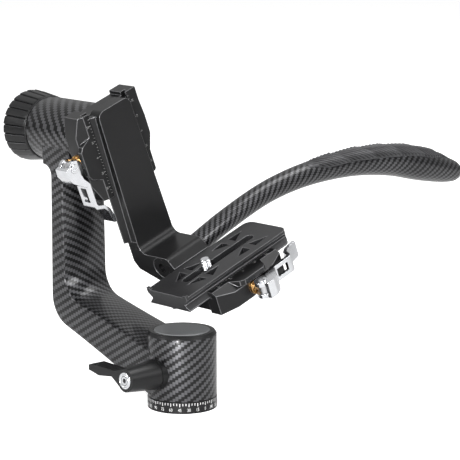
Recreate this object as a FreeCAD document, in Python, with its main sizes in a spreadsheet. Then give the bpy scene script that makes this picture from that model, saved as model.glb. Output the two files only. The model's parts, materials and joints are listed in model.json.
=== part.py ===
import FreeCAD, Part
import math
import os
import Sketcher

# Gimbal tripod head, in millimetres, +Z up. The origin is the middle of the base's underside.
# X runs along the tilt axis, from the knob (low X) to the lens (high X). The lens looks along +Y.
# The head is modelled as it stands in use: the cradle tilted up by cradle_tilt, both clamps closed.

V = FreeCAD.Vector
doc = FreeCAD.newDocument("gimbal_head")
sheet = doc.addObject("Spreadsheet::Sheet", "Sizes")

SIZES = [
    ("running_gap", 0.3, "gap between pieces that move past each other"),
    ("shaft_gap", 0.04, "radial gap of a shaft that turns in a bore"),
    ("base_height", 7.2, "scale ring"),
    ("thread_radius", 3.97, "minor radius of the 3/8 inch tripod thread"),
    ("insert_radius", 6.5, "thread insert, outside"),
    ("insert_length", 12.0, "thread insert"),
    ("base_screw_circle", 12.0, "radius that the base screws stand on"),
    ("base_screw_count", 3, "base screws"),
    ("small_head_radius", 2.75, "head of the small screws"),
    ("small_shank_radius", 1.5, "shank of the small screws"),
    ("small_head_height", 2.8, "head of the small screws"),
    ("head_sink", 0.4, "how far the base screws' heads lie inside the ring"),
    ("flange_radius", 16.4, "spindle flange"),
    ("flange_thickness", 2.4, "spindle flange"),
    ("spindle_radius", 10.0, "spindle, in its bearings"),
    ("stub_radius", 6.0, "threaded end of the spindle"),
    ("nut_radius", 13.0, "spindle nut"),
    ("nut_height", 3.6, "spindle nut"),
    ("housing_radius", 22.0, "carbon housing, outside"),
    ("ring_stand", 0.14, "how far the scale ring stands out from the housing"),
    ("base_radius", "=housing_radius + ring_stand", "scale ring"),
    ("housing_top", 47.0, "carbon housing"),
    ("housing_wall", 3.0, "wall of the carbon housing"),
    ("liner_radius", "=housing_radius - housing_wall", "housing liner, outside"),
    ("liner_wall", 2.0, "wall of the housing liner at the bearings"),
    ("bearing_radius", "=liner_radius - liner_wall", "pan bearings, outside"),
    ("bearing_width", 7.0, "all bearings"),
    ("bearing_low", 10.0, "height of the lower pan bearing"),
    ("bearing_sink", 14.0, "upper pan bearing's underside below the housing's top"),
    ("bearing_high", "=housing_top - bearing_sink", "height of the upper pan bearing"),
    ("rib_radius", 13.5, "bore of the rib between the pan bearings"),
    ("trim_rise", 2.5, "trim ring above the housing"),
    ("trim_top", "=housing_top + trim_rise", "bevelled trim ring"),
    ("trim_bevel", 1.3, "bevel of the trim ring, inwards"),
    ("trim_skirt", 2.3, "depth of the trim ring's skirt in the housing"),
    ("seat_rise", 0.6, "that ledge above the housing"),
    ("trim_seat", "=housing_top + seat_rise", "height of the ledge that the cap lies on"),
    ("cap_margin", 4.05, "top cap's edge inside the housing's"),
    ("cap_radius", "=housing_radius - cap_margin", "top cap"),
    ("ledge_width", 1.55, "ledge under the cap's edge"),
    ("trim_ledge", "=cap_radius - ledge_width", "inner radius of that ledge"),
    ("cap_rise", 0.3, "top cap above the trim ring"),
    ("cap_top", "=trim_top + cap_rise", "top cap"),
    ("axis_height", 164.75, "tilt axis above the base"),
    ("cradle_tilt", 21.2, "angle of the cradle at rest, lens end up"),
    ("limb_reach", 112.0, "outer face of the upright limb from the pan axis"),
    ("limb_depth", 16.5, "upright limb, outer face to the crown of the inner face"),
    ("limb_half_width", 17.6, "upright limb, half its width"),
    ("limb_crown", 3.0, "how far the inner face swells in the middle"),
    ("limb_corner", 3.0, "rounding of the outer edges"),
    ("elbow_outer_height", 42.4, "where the outer faces of limb and diagonal would meet"),
    ("elbow_inner_height", 61.1, "where the inner faces of limb and diagonal would meet"),
    ("elbow_outer_radius", 20.0, "outer bend"),
    ("elbow_inner_radius", 18.0, "inner bend"),
    ("slope_outer", 18.4, "fall of the underside of the diagonal, degrees"),
    ("slope_inner", 13.2, "fall of the top of the diagonal, degrees"),
    ("root_inset", 0.4, "diagonal's root inside the housing's width"),
    ("root_half_width", "=housing_radius - root_inset", "half width of the diagonal at the housing"),
    ("root_reach", 2.0, "how near the diagonal's end comes to the pan axis"),
    ("shoulder_fillet", 8.0, "flare where the limb joins the tube"),
    ("tube_radius", 20.8, "top tube"),
    ("tube_left", -132.6, "knob end of the top tube"),
    ("tube_wall", 2.8, "wall of the top tube"),
    ("tube_bore", "=tube_radius - tube_wall", "top tube, inside"),
    ("end_plate_thickness", 5.0, "plate in the knob end of the tube"),
    ("tilt_liner_wall", 2.5, "wall of the tilt liner at the bearings"),
    ("tilt_bearing_radius", "=tube_bore - tilt_liner_wall", "tilt bearings, outside"),
    ("tilt_rib_radius", 12.0, "bore of the rib between the tilt bearings"),
    ("shaft_radius", 9.0, "tilt shaft"),
    ("pad_room", 4.1, "room for the friction pad between end plate and shaft"),
    ("shaft_left", "=tube_left + end_plate_thickness + pad_room", "knob end of the tilt shaft"),
    ("bearing_inset", 3.5, "outer tilt bearing from the shaft's end"),
    ("tilt_bearing_left", "=shaft_left + bearing_inset", "outer tilt bearing"),
    ("shaft_flange_radius", 19.0, "flange that carries the upper clamp"),
    ("shaft_flange_thickness", 2.1, "that flange"),
    ("shaft_step_radius", 15.0, "step behind the flange"),
    ("shaft_step_length", 3.0, "step behind the flange"),
    ("pad_thickness", 2.5, "friction pad behind the shaft"),
    ("stud_radius", 4.0, "studs of knob and pan lock"),
    ("knob_gap", 0.4, "gap between tube and knob"),
    ("knob_length", 21.3, "knob along its axis"),
    ("knob_right", "=tube_left - knob_gap", "inner face of the knob"),
    ("knob_left", "=knob_right - knob_length", "outer face of the knob"),
    ("knob_radius", 23.7, "knob at its outer face"),
    ("knob_neck_radius", 21.3, "knob at its inner face"),
    ("knob_groove_count", 24, "grooves round the knob"),
    ("knob_groove_width", 1.2, "grooves round the knob"),
    ("knob_groove_depth", 1.0, "grooves round the knob"),
    ("knob_cap_radius", 17.0, "disc in the knob's outer face"),
    ("knob_cap_depth", 2.0, "disc in the knob's outer face"),
    ("lock_height", 24.0, "axis of the pan lock above the base"),
    ("boss_radius", 9.9, "collar of the pan lock"),
    ("boss_stand", 2.0, "how far the collar stands out from the housing"),
    ("boss_reach", "=housing_radius + boss_stand", "outer face of the collar from the pan axis"),
    ("boss_nose_radius", 6.0, "part of the collar that enters the housing"),
    ("boss_nose_reach", "=liner_radius", "inner end of that nose"),
    ("shoe_radius", 4.5, "pan brake shoe"),
    ("hub_length", 22.7, "lock lever's hub"),
    ("hub_end", "=boss_reach + running_gap + hub_length", "outer end of the lock lever's hub"),
    ("hub_root_radius", 9.5, "lever hub beside the collar"),
    ("hub_tip_radius", 7.4, "lever hub at its outer end"),
    ("lock_disc_radius", 5.3, "silver screw of the pan lock"),
    ("lock_disc_depth", 1.0, "how far that screw lies in the hub"),
    ("wing_reach", 36.0, "tip of the lever from its axis"),
    ("wing_depth", 10.5, "lever wing along its axis"),
    ("wing_top", 4.6, "top of the wing above the lock axis"),
    ("wing_thickness", 4.0, "wing at its tip"),
    ("dovetail_half", 19.0, "half the width of the plates' dovetail"),
    ("dovetail_land", 0.8, "upright edge under the dovetail's flank"),
    ("neck_half", 15.6, "half the width of the lens plate's neck"),
    ("plate_thickness", 10.0, "lens plate and bracket"),
    ("flank_height", 3.4, "height of a 45 degree flank"),
    ("jaw_top", 6.3, "depth of the jaws' faces below the plate's face"),
    ("jaw_gap", 0.3, "gap between jaw and dovetail flank, across the clamp"),
    ("channel_floor", 10.3, "depth of the channel floor"),
    ("clamp_depth", 22.0, "underside of the clamp below the plate's face"),
    ("clamp_half_length", 29.5, "half the length of the clamp"),
    ("clamp_set_back", 2.5, "how far the channel floor ends short of the jaws"),
    ("body_side", 14.2, "side of the clamp body towards the moving jaw"),
    ("fixed_bulge", 26.0, "outer side of the upper clamp's fixed jaw"),
    ("fixed_tail", 21.8, "the same at its far end"),
    ("fixed_head", 25.0, "the same at its near end"),
    ("fixed_side_lower", 20.0, "outer side of the lower clamp's fixed jaw"),
    ("jaw_side", 28.0, "outer side of the moving jaw"),
    ("jaw_face_side", 21.0, "edge of the moving jaw's face at its ends"),
    ("jaw_end_side", 24.0, "moving jaw's side at its end corners"),
    ("jaw_corner", 12.5, "length of the end corners"),
    ("jaw_bevel_depth", 5.0, "drop of the bevel beside the face"),
    ("jaw_bridge_side", 30.5, "edge of the bridge over the lever head"),
    ("jaw_bridge_half", 10.0, "half the length of the bridge's edge"),
    ("jaw_bridge_root", 15.5, "half the length of the bridge at the face"),
    ("jaw_bridge_thickness", 3.8, "bridge over the lever head"),
    ("pivot_side", 36.5, "lever pin from the middle of the clamp"),
    ("pocket_radius", 9.0, "hollow that the lever head lies in"),
    ("lever_top", 10.4, "depth of the lever's face below the plate's face"),
    ("lever_width", 11.0, "lever along its pin"),
    ("cam_radius", 5.65, "cam"),
    ("cam_offset", 0.85, "cam centre from the pin"),
    ("cam_angle", 145.0, "direction of that offset, degrees"),
    ("fork_slot", 5.2, "slot between the lever's cheeks"),
    ("lever_gap", 0.6, "gap between jaw and lever arm"),
    ("arm_side", "=jaw_side + lever_gap", "inner face of the lever's arm"),
    ("arm_thickness", 2.8, "lever's arm"),
    ("arm_end", 30.4, "where the arm turns into the finger tab"),
    ("window_start", 17.5, "window in the arm"),
    ("window_length", 10.0, "window in the arm"),
    ("window_width", 5.6, "window in the arm"),
    ("tab_end", 47.4, "tip of the finger tab"),
    ("tab_side", 18.4, "side of the finger tab at its tip"),
    ("tab_thickness", 2.4, "finger tab"),
    ("pin_radius", 1.5, "lever pin"),
    ("pin_head_radius", 3.0, "head of the lever pin"),
    ("pin_head_height", 0.7, "head of the lever pin"),
    ("rod_radius", 2.4, "tension rod"),
    ("rod_depth", 15.9, "depth of the tension rod's axis"),
    ("eye_radius", 4.2, "eye of the tension rod"),
    ("fork_depth", "=pivot_side + eye_radius + running_gap", "where the lever's slot ends"),
    ("eye_width", 4.6, "eye of the tension rod"),
    ("rod_nut_radius", 4.1, "nut of the tension rod"),
    ("rod_nut_height", 3.2, "nut of the tension rod"),
    ("washer_radius", 5.0, "brass cam washer"),
    ("cam_room", 6.5, "cam washer's outer face from the lever pin"),
    ("washer_face", "=pivot_side - cam_room", "outer face of the cam washer"),
    ("washer_thickness", 2.5, "cam washer"),
    ("washer_seat", "=washer_face - washer_thickness", "seat of the cam washer in the jaw"),
    ("guide_radius", 2.0, "guide pins"),
    ("guide_spread", 18.0, "guide pins from the middle of the clamp"),
    ("guide_start", 2.0, "inner end of the guide pins"),
    ("guide_end", 24.5, "outer end of the guide pins"),
    ("clamp_screw_side", 7.5, "upper clamp screws beside the tilt axis"),
    ("clamp_screw_rise", 9.5, "upper clamp screws above and below the tilt axis"),
    ("clamp_screw_reach", 4.0, "how far they enter the shaft"),
    ("bracket_face", -55.6, "front face of the bracket's upright"),
    ("tube_right", "=bracket_face - clamp_depth - shaft_flange_thickness - running_gap",
     "clamp end of the top tube"),
    ("tilt_bearing_right", "=tube_right - shaft_step_length - bearing_width", "inner tilt bearing"),
    ("upper_clamp_drop", -4.0, "middle of the upper clamp from the tilt axis"),
    ("bracket_top", 24.9, "upper end of the bracket"),
    ("bracket_corner", 5.0, "rounded corners of the bracket's top"),
    ("bracket_top_half", 13.6, "half width of the upright at its top"),
    ("plate_room", 32.75, "level of the lens plate's top above the top cap"),
    ("lens_plate_top", "=cap_top + plate_room - axis_height", "top of the lens plate"),
    ("bracket_foot_half", 15.6, "half width of the foot"),
    ("foot_rise", 6.6, "top of the foot above the lens plate"),
    ("foot_top", "=lens_plate_top + foot_rise", "top of the foot"),
    ("rail_stop", 7.6, "lower end of the dovetail above the foot"),
    ("bracket_rail_end", "=foot_top + rail_stop", "lower end of the bracket's dovetail"),
    ("foot_fold", 6.0, "bend between upright and foot"),
    ("foot_edge", -30.0, "where the foot's top starts to round off"),
    ("foot_side", -24.5, "side of the foot towards the lower clamp"),
    ("foot_drop", 11.8, "underside of the foot below the lens plate's top"),
    ("foot_bottom", "=lens_plate_top - foot_drop", "underside of the foot"),
    ("foot_lug_side", -42.0, "left side of the lug that carries the lower clamp"),
    ("foot_round", 6.0, "rounding of the foot's top edge"),
    ("foot_chamfer_height", 7.0, "bevel under the upright"),
    ("foot_slope_start", -62.0, "lower corner of that bevel"),
    ("stop_radius", 2.5, "stop screw heads"),
    ("stop_height", 2.2, "stop screw heads"),
    ("stop_rise", 6.0, "bracket's stop screw above the dovetail's end"),
    ("bracket_stop", "=bracket_rail_end + stop_rise", "height of the bracket's stop screw"),
    ("handle_x", -38.0, "plane of the handle"),
    ("handle_drop", 1.3, "handle bore below the lens plate's top"),
    ("handle_start_drop", "=lens_plate_top - handle_drop", "handle bore in the foot"),
    ("spigot_radius", 5.5, "handle spigot"),
    ("spigot_length", 22.0, "handle spigot in the foot"),
    ("handle_bolt_radius", 3.0, "bolt of the handle"),
    ("handle_bolt_head", 6.8, "head of that bolt"),
    ("handle_bolt_sink", 4.4, "depth of its counterbore"),
    ("handle_bolt_end", 28.0, "inner end of that bolt"),
    ("handle_y_1", "=bracket_foot_half", "handle at point 1, along Y"),
    ("handle_r_1", 7.2, "handle at point 1, radius"),
    ("handle_y_2", 45.0, "handle at point 2, along Y"),
    ("handle_rise_2", 2.7, "handle at point 2, above its bore in the foot"),
    ("handle_r_2", 7.3, "handle at point 2, radius"),
    ("handle_y_3", 80.0, "handle at point 3, along Y"),
    ("handle_rise_3", 3.5, "handle at point 3, above its bore in the foot"),
    ("handle_r_3", 7.4, "handle at point 3, radius"),
    ("handle_y_4", 110.0, "handle at point 4, along Y"),
    ("handle_rise_4", 0.1, "handle at point 4, above its bore in the foot"),
    ("handle_r_4", 7.8, "handle at point 4, radius"),
    ("handle_y_5", 140.0, "handle at point 5, along Y"),
    ("handle_rise_5", -7.1, "handle at point 5, above its bore in the foot"),
    ("handle_r_5", 8.5, "handle at point 5, radius"),
    ("handle_y_6", 170.0, "handle at point 6, along Y"),
    ("handle_rise_6", -17.1, "handle at point 6, above its bore in the foot"),
    ("handle_r_6", 9.7, "handle at point 6, radius"),
    ("handle_y_7", 200.0, "handle at point 7, along Y"),
    ("handle_rise_7", -31.1, "handle at point 7, above its bore in the foot"),
    ("handle_r_7", 11.0, "handle at point 7, radius"),
    ("handle_y_8", 225.0, "handle at point 8, along Y"),
    ("handle_rise_8", -46.9, "handle at point 8, above its bore in the foot"),
    ("handle_r_8", 11.6, "handle at point 8, radius"),
    ("handle_y_9", 244.0, "handle at point 9, along Y"),
    ("handle_rise_9", -60.4, "handle at point 9, above its bore in the foot"),
    ("handle_r_9", 9.8, "handle at point 9, radius"),
    ("handle_y_10", 254.5, "handle at point 10, along Y"),
    ("handle_rise_10", -67.5, "handle at point 10, above its bore in the foot"),
    ("handle_r_10", 7.9, "handle at point 10, radius"),
    ("handle_y_11", 258.6, "handle at point 11, along Y"),
    ("handle_rise_11", -70.2, "handle at point 11, above its bore in the foot"),
    ("handle_r_11", 6.0, "handle at point 11, radius"),
    ("handle_y_12", 260.0, "handle at point 12, along Y"),
    ("handle_rise_12", -71.1, "handle at point 12, above its bore in the foot"),
    ("handle_r_12", 4.8, "handle at point 12, radius"),
    ("grip_start", 138.0, "where the grip pad starts"),
    ("grip_end", 252.0, "where the grip pad ends"),
    ("lens_plate_x", -4.5, "middle of the lens plate"),
    ("lower_clamp_y", 6.5, "middle of the lower clamp"),
    ("lug_screw_near", -14.5, "near screw of the lower clamp, along it"),
    ("lug_screw_far", 7.5, "far screw of the lower clamp, along it"),
    ("lug_screw_bite", 10.0, "how far those screws enter the clamp"),
    ("lens_plate_near", -41.7, "near end of the lens plate"),
    ("lens_plate_far", 52.0, "far end of the lens plate"),
    ("lens_plate_corner", 6.0, "rounding of the far corners"),
    ("flange_edge", 2.0, "edge of the lens plate's top flange"),
    ("horn_length", 2.0, "upstand at the near corners"),
    ("horn_width", 3.2, "upstand at the near corners"),
    ("horn_height", 1.4, "upstand at the near corners"),
    ("slot_margin_near", 15.9, "near end of the screw slot from the plate's end"),
    ("slot_near", "=lens_plate_near + slot_margin_near", "near end of the screw slot"),
    ("slot_margin_far", 15.0, "far end of the screw slot from the plate's end"),
    ("slot_far", "=lens_plate_far - slot_margin_far", "far end of the screw slot"),
    ("slot_half", 3.3, "half width of the screw slot"),
    ("slot_ledge", 3.5, "depth of the ledge that holds the screw"),
    ("slot_pocket_half", 5.2, "half width of the slot below the ledge"),
    ("stop_inset_near", 4.2, "near stop screw from the plate's end"),
    ("stop_near", "=lens_plate_near + stop_inset_near", "near stop screw under the lens plate"),
    ("stop_inset_far", 5.0, "far stop screw from the plate's end"),
    ("stop_far", "=lens_plate_far - stop_inset_far", "far stop screw under the lens plate"),
    ("window_1_inner", 5.7, "window 1, edge beside the slot"),
    ("window_1_outer", 13.3, "window 1, edge beside the plate's rim"),
    ("window_1_near", -27.5, "window 1, near end"),
    ("window_1_far", -17.3, "window 1, far end"),
    ("window_2_inner", 6.1, "window 2, edge beside the slot"),
    ("window_2_outer", 14.0, "window 2, edge beside the plate's rim"),
    ("window_2_near", -12.6, "window 2, near end"),
    ("window_2_far", -1.4, "window 2, far end"),
    ("window_2_point", 7.6, "window 2, its point from the plate's middle"),
    ("window_3_inner", 6.0, "window 3, edge beside the slot"),
    ("window_3_outer", 13.8, "window 3, edge beside the plate's rim"),
    ("window_3_near", 12.0, "window 3, near end"),
    ("window_3_far", 22.2, "window 3, far end"),
    ("window_3_point", 12.4, "window 3, its point from the plate's middle"),
    ("window_4_inner", 6.0, "window 4, edge beside the slot"),
    ("window_4_outer", 13.2, "window 4, edge beside the plate's rim"),
    ("window_4_near", 27.4, "window 4, near end"),
    ("window_4_far", 39.2, "window 4, far end"),
    ("window_4_point", 12.4, "window 4, its point from the plate's middle"),
    ("camera_screw_y", -5.0, "camera screw along the slot"),
    ("camera_thread_start", 0.3, "start of the camera screw's thread above the plate"),
    ("camera_thread_radius", 3.175, "1/4 inch camera thread"),
    ("camera_thread_length", 5.5, "camera thread above the plate"),
    ("camera_head_radius", 4.9, "camera screw's head"),
    ("camera_head_top", 5.0, "depth of that head's top"),
    ("camera_head_bottom", 8.8, "depth of that head's underside"),
    ("camera_shank_radius", 2.6, "camera screw between head and thread"),
    ("screw_washer_thickness", 1.0, "washer under the slot's ledge"),
]

for row, (alias, amount, meaning) in enumerate(SIZES, start=1):
    sheet.set("A%d" % row, "0")
    sheet.setAlias("A%d" % row, alias)
    sheet.set("B%d" % row, meaning)
for row, (alias, amount, meaning) in enumerate(SIZES, start=1):
    sheet.set("A%d" % row, str(amount))
doc.recompute()


class Size:
    """A number together with the sheet expression that gives it."""

    def __init__(self, value, text):
        self.value = float(value)
        self.text = text

    def __add__(self, other):
        other = as_size(other)
        return Size(self.value + other.value, "(%s + %s)" % (self.text, other.text))

    def __radd__(self, other):
        return as_size(other) + self

    def __sub__(self, other):
        other = as_size(other)
        return Size(self.value - other.value, "(%s - %s)" % (self.text, other.text))

    def __rsub__(self, other):
        return as_size(other) - self

    def __mul__(self, other):
        other = as_size(other)
        return Size(self.value * other.value, "(%s * %s)" % (self.text, other.text))

    def __rmul__(self, other):
        return as_size(other) * self

    def __truediv__(self, other):
        other = as_size(other)
        return Size(self.value / other.value, "(%s / %s)" % (self.text, other.text))

    def __neg__(self):
        return Size(-self.value, "(0 - %s)" % self.text)


def as_size(amount):
    """A plain number as a Size, and a Size as it is."""
    if isinstance(amount, Size):
        return amount
    return Size(amount, "(%.6f)" % amount)


class Sheet:
    """The sheet's cells by name, each as a Size."""

    def __getattr__(self, alias):
        return Size(sheet.get(alias), "Sizes.%s" % alias)


z = Sheet()
made = []


def bind(thing, prop, amount):
    """Ties one property of an object to the sheet."""
    thing.setExpression(prop, as_size(amount).text)


def set_base(thing, place, turn=None):
    """Puts an object at three sizes, turned if asked, and ties its place to the sheet."""
    x, y, up = [as_size(part) for part in place]
    thing.Placement = FreeCAD.Placement(V(x.value, y.value, up.value), turn or FreeCAD.Rotation())
    bind(thing, "Placement.Base.x", x)
    bind(thing, "Placement.Base.y", y)
    bind(thing, "Placement.Base.z", up)
    return thing


ALONG = {
    "x": FreeCAD.Rotation(V(0, 1, 0), 90),
    "y": FreeCAD.Rotation(V(1, 0, 0), -90),
    "z": FreeCAD.Rotation(),
}


def block(name, x, y, up):
    """A box from three pairs of sizes, low and high."""
    box = doc.addObject("Part::Box", name)
    for prop, (low, high) in (("Length", x), ("Width", y), ("Height", up)):
        bind(box, prop, as_size(high) - as_size(low))
    return set_base(box, (x[0], y[0], up[0]))


def pin(name, axis, radius, start, end, at):
    """A cylinder along one axis, from start to end, with its centre line through the pair of sizes at."""
    rod = doc.addObject("Part::Cylinder", name)
    bind(rod, "Radius", radius)
    bind(rod, "Height", as_size(end) - as_size(start))
    place = {"x": (start, at[0], at[1]), "y": (at[0], start, at[1]), "z": (at[0], at[1], start)}
    return set_base(rod, place[axis], ALONG[axis])


def cone(name, axis, radius_start, radius_end, start, end, at):
    """A cone frustum along one axis."""
    body = doc.addObject("Part::Cone", name)
    bind(body, "Radius1", radius_start)
    bind(body, "Radius2", radius_end)
    bind(body, "Height", as_size(end) - as_size(start))
    place = {"x": (start, at[0], at[1]), "y": (at[0], start, at[1]), "z": (at[0], at[1], start)}
    return set_base(body, place[axis], ALONG[axis])


def outline(name, points):
    """A closed sketch of straight lines whose corners are tied to the sheet."""
    sketch = doc.addObject("Sketcher::SketchObject", name)
    corners = [(as_size(a), as_size(b)) for a, b in points]
    count = len(corners)
    for index, (a, b) in enumerate(corners):
        c, d = corners[(index + 1) % count]
        sketch.addGeometry(Part.LineSegment(V(a.value, b.value, 0), V(c.value, d.value, 0)), False)
    for index in range(count):
        sketch.addConstraint(Sketcher.Constraint("Coincident", index, 2, (index + 1) % count, 1))
    for index, corner in enumerate(corners):
        for kind, amount in zip(("DistanceX", "DistanceY"), corner):
            number = sketch.addConstraint(Sketcher.Constraint(kind, -1, 1, index, 1, amount.value))
            bind(sketch, "Constraints[%d]" % number, amount)
    return sketch


# A sketch's own x and y, and the way it is pulled, for each plane.
PLANES = {
    "xy": (FreeCAD.Rotation(), (0, 0, 1)),
    "xz": (FreeCAD.Rotation(V(1, 0, 0), 90), (0, -1, 0)),
    "yz": (FreeCAD.Rotation(V(0, 0, 1), 90) * FreeCAD.Rotation(V(1, 0, 0), 90), (1, 0, 0)),
}


def prism(name, plane, points, low, high):
    """A sketch in one plane, pulled from low to high along the third axis."""
    turn, way = PLANES[plane]
    sketch = outline(name + "_sketch", points)
    start = high if plane == "xz" else low
    place = {"xy": (0, 0, start), "xz": (0, start, 0), "yz": (start, 0, 0)}
    set_base(sketch, place[plane], turn)
    body = doc.addObject("Part::Extrusion", name)
    body.Base = sketch
    body.DirMode = "Custom"
    body.Dir = V(*way)
    body.Solid = True
    bind(body, "LengthFwd", as_size(high) - as_size(low))
    return body


def turned(name, axis, points):
    """A profile of (distance along the axis, radius) pairs, turned once round the X or Z axis."""
    if axis == "z":
        points = [(radius, along) for along, radius in points]
    sketch = outline(name + "_sketch", points)
    sketch.Placement = FreeCAD.Placement(V(0, 0, 0), FreeCAD.Rotation(V(1, 0, 0), 90))
    body = doc.addObject("Part::Revolution", name)
    body.Source = sketch
    body.Axis = V(1, 0, 0) if axis == "x" else V(0, 0, 1)
    body.Angle = 360
    body.Solid = True
    return body


def cut(name, base, *tools):
    """One solid less others."""
    tool = tools[0] if len(tools) == 1 else join(name + "_tools", *tools)
    body = doc.addObject("Part::Cut", name)
    body.Base = base
    body.Tool = tool
    return body


def join(name, *parts):
    """Several solids as one."""
    body = doc.addObject("Part::MultiFuse", name)
    body.Shapes = list(parts)
    return body


def group(name, *parts):
    """Several solids side by side in one object."""
    body = doc.addObject("Part::Compound", name)
    body.Links = list(parts)
    return body


def overlap(name, base, tool):
    """What two solids share."""
    body = doc.addObject("Part::Common", name)
    body.Base = base
    body.Tool = tool
    return body


def rounded(name, base, radius, picks):
    """A solid with the edges that picks accepts rounded off."""
    doc.recompute()
    body = doc.addObject("Part::Fillet", name)
    body.Base = base
    edges = [number for number, edge in enumerate(base.Shape.Edges, start=1) if picks(edge)]
    if not edges:
        raise RuntimeError(name + ": no edge to round")
    body.Edges = [(number, radius.value, radius.value) for number in edges]
    return body


def near(value, aim):
    """Whether two lengths are the same to a hundredth."""
    return abs(value - aim) < 0.01


def stands_at(edge, x=None, y=None, up=None):
    """Whether an edge's both ends lie at the coordinates given."""
    ends = [vertex.Point for vertex in edge.Vertexes]
    checks = ((x, 0), (y, 1), (up, 2))
    return all(near(end[axis], aim) for end in ends for aim, axis in checks if aim is not None)


def sub_part(label, body, place=None):
    """Names a finished piece and puts it in its place."""
    body.Label = label
    if place is not None:
        body.Placement = place
    made.append(body)


def shaped(name, shape):
    """A solid worked out here rather than by a feature."""
    body = doc.addObject("Part::Feature", name)
    body.Shape = shape
    return body


# Frames: the cradle's own axes, and each clamp's: x across towards the lever, y along the lever's arm,
# z out of the plate's face.
CRADLE = FreeCAD.Placement(V(0, 0, z.axis_height.value), FreeCAD.Rotation(V(1, 0, 0), z.cradle_tilt.value))
UPPER = CRADLE * FreeCAD.Placement(
    V(z.bracket_face.value, 0, z.upper_clamp_drop.value),
    FreeCAD.Rotation(V(0, -1, 0), V(0, 0, -1), V(1, 0, 0), "ZXY"),
)
LOWER = CRADLE * FreeCAD.Placement(
    V(z.lens_plate_x.value, z.lower_clamp_y.value, z.lens_plate_top.value), FreeCAD.Rotation()
)
LENS_PLATE = CRADLE * FreeCAD.Placement(
    V(z.lens_plate_x.value, 0, z.lens_plate_top.value), FreeCAD.Rotation()
)


def on_circle(radius, count):
    """Places evenly spread round the Z axis, as pairs of sizes."""
    for index in range(count):
        turn = math.radians(360.0 * index / count)
        yield radius * math.cos(turn), radius * math.sin(turn)


def make_base():
    """Scale ring, thread insert, spindle, its screws and its nut."""
    count = int(z.base_screw_count.value)
    spots = list(on_circle(z.base_screw_circle, count))
    disc = pin("ring_disc", "z", z.base_radius, 0, z.base_height, (0, 0))
    holes = [pin("ring_hole", "z", z.insert_radius, 0, z.base_height, (0, 0))]
    head_end = z.head_sink + z.small_head_height
    for number, spot in enumerate(spots):
        holes.append(pin("ring_counterbore_%d" % number, "z", z.small_head_radius + 0.1, 0, head_end, spot))
        holes.append(pin("ring_screw_hole_%d" % number, "z", z.small_shank_radius, head_end, z.base_height, spot))
    sub_part("base_ring", cut("base_ring", disc, *holes))

    insert = pin("insert_body", "z", z.insert_radius, 0, z.insert_length, (0, 0))
    thread = pin("insert_thread", "z", z.thread_radius, 0, z.insert_length, (0, 0))
    sub_part("thread_insert", cut("thread_insert", insert, thread))

    flange_top = z.base_height + z.flange_thickness
    shoulder = z.bearing_high + z.bearing_width + z.running_gap
    stub_top = shoulder + z.nut_height + 1
    profile = [
        (z.base_height, 0.0),
        (z.base_height, z.flange_radius),
        (flange_top, z.flange_radius),
        (flange_top, z.spindle_radius),
        (shoulder, z.spindle_radius),
        (shoulder, z.stub_radius),
        (stub_top, z.stub_radius),
        (stub_top, 0.0),
    ]
    post = turned("spindle_post", "z", profile)
    bore = pin("spindle_bore", "z", z.insert_radius, z.base_height, z.insert_length, (0, 0))
    taps = [
        pin("spindle_tap_%d" % number, "z", z.small_shank_radius, z.base_height, flange_top, spot)
        for number, spot in enumerate(spots)
    ]
    sub_part("pan_spindle", cut("pan_spindle", post, bore, *taps))

    screws = []
    for number, spot in enumerate(spots):
        head = pin("base_screw_head_%d" % number, "z", z.small_head_radius, z.head_sink, head_end, spot)
        shank = pin("base_screw_shank_%d" % number, "z", z.small_shank_radius, head_end, flange_top, spot)
        drive = pin("base_screw_drive_%d" % number, "z", z.small_shank_radius - 0.3, z.head_sink,
                    z.head_sink + z.small_head_height / 2, spot)
        screws.append(cut("base_screw_%d" % number, join("base_screw_body_%d" % number, head, shank), drive))
    sub_part("base_screws", group("base_screws", *screws))

    nut = pin("nut_body", "z", z.nut_radius, shoulder, shoulder + z.nut_height, (0, 0))
    nut_hole = pin("nut_thread", "z", z.stub_radius, shoulder, shoulder + z.nut_height, (0, 0))
    notches = [
        block("nut_notch_%d" % number, (z.nut_radius - 2, z.nut_radius + 1), (-1.5, 1.5),
              (shoulder + 1, shoulder + z.nut_height))
        for number in range(4)
    ]
    for number, notch in enumerate(notches):
        notch.Placement = FreeCAD.Placement(V(0, 0, 0), FreeCAD.Rotation(V(0, 0, 1), 90 * number)) * notch.Placement
        for part in ("x", "y", "z"):
            notch.setExpression("Placement.Base." + part, None)
    sub_part("spindle_nut", cut("spindle_nut", nut, nut_hole, *notches))


def bearing(name, axis, low, outer, shaft):
    """A shielded ball bearing: a ring with a shallow step in each face between its two races."""
    high = low + z.bearing_width
    bore = shaft + z.shaft_gap
    wall = (outer - bore) / 4
    step = 0.5
    profile = [
        (low, bore), (low, bore + wall), (low + step, bore + wall), (low + step, outer - wall),
        (low, outer - wall), (low, outer), (high, outer), (high, outer - wall),
        (high - step, outer - wall), (high - step, bore + wall), (high, bore + wall), (high, bore),
    ]
    return turned(name, axis, profile)


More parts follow.
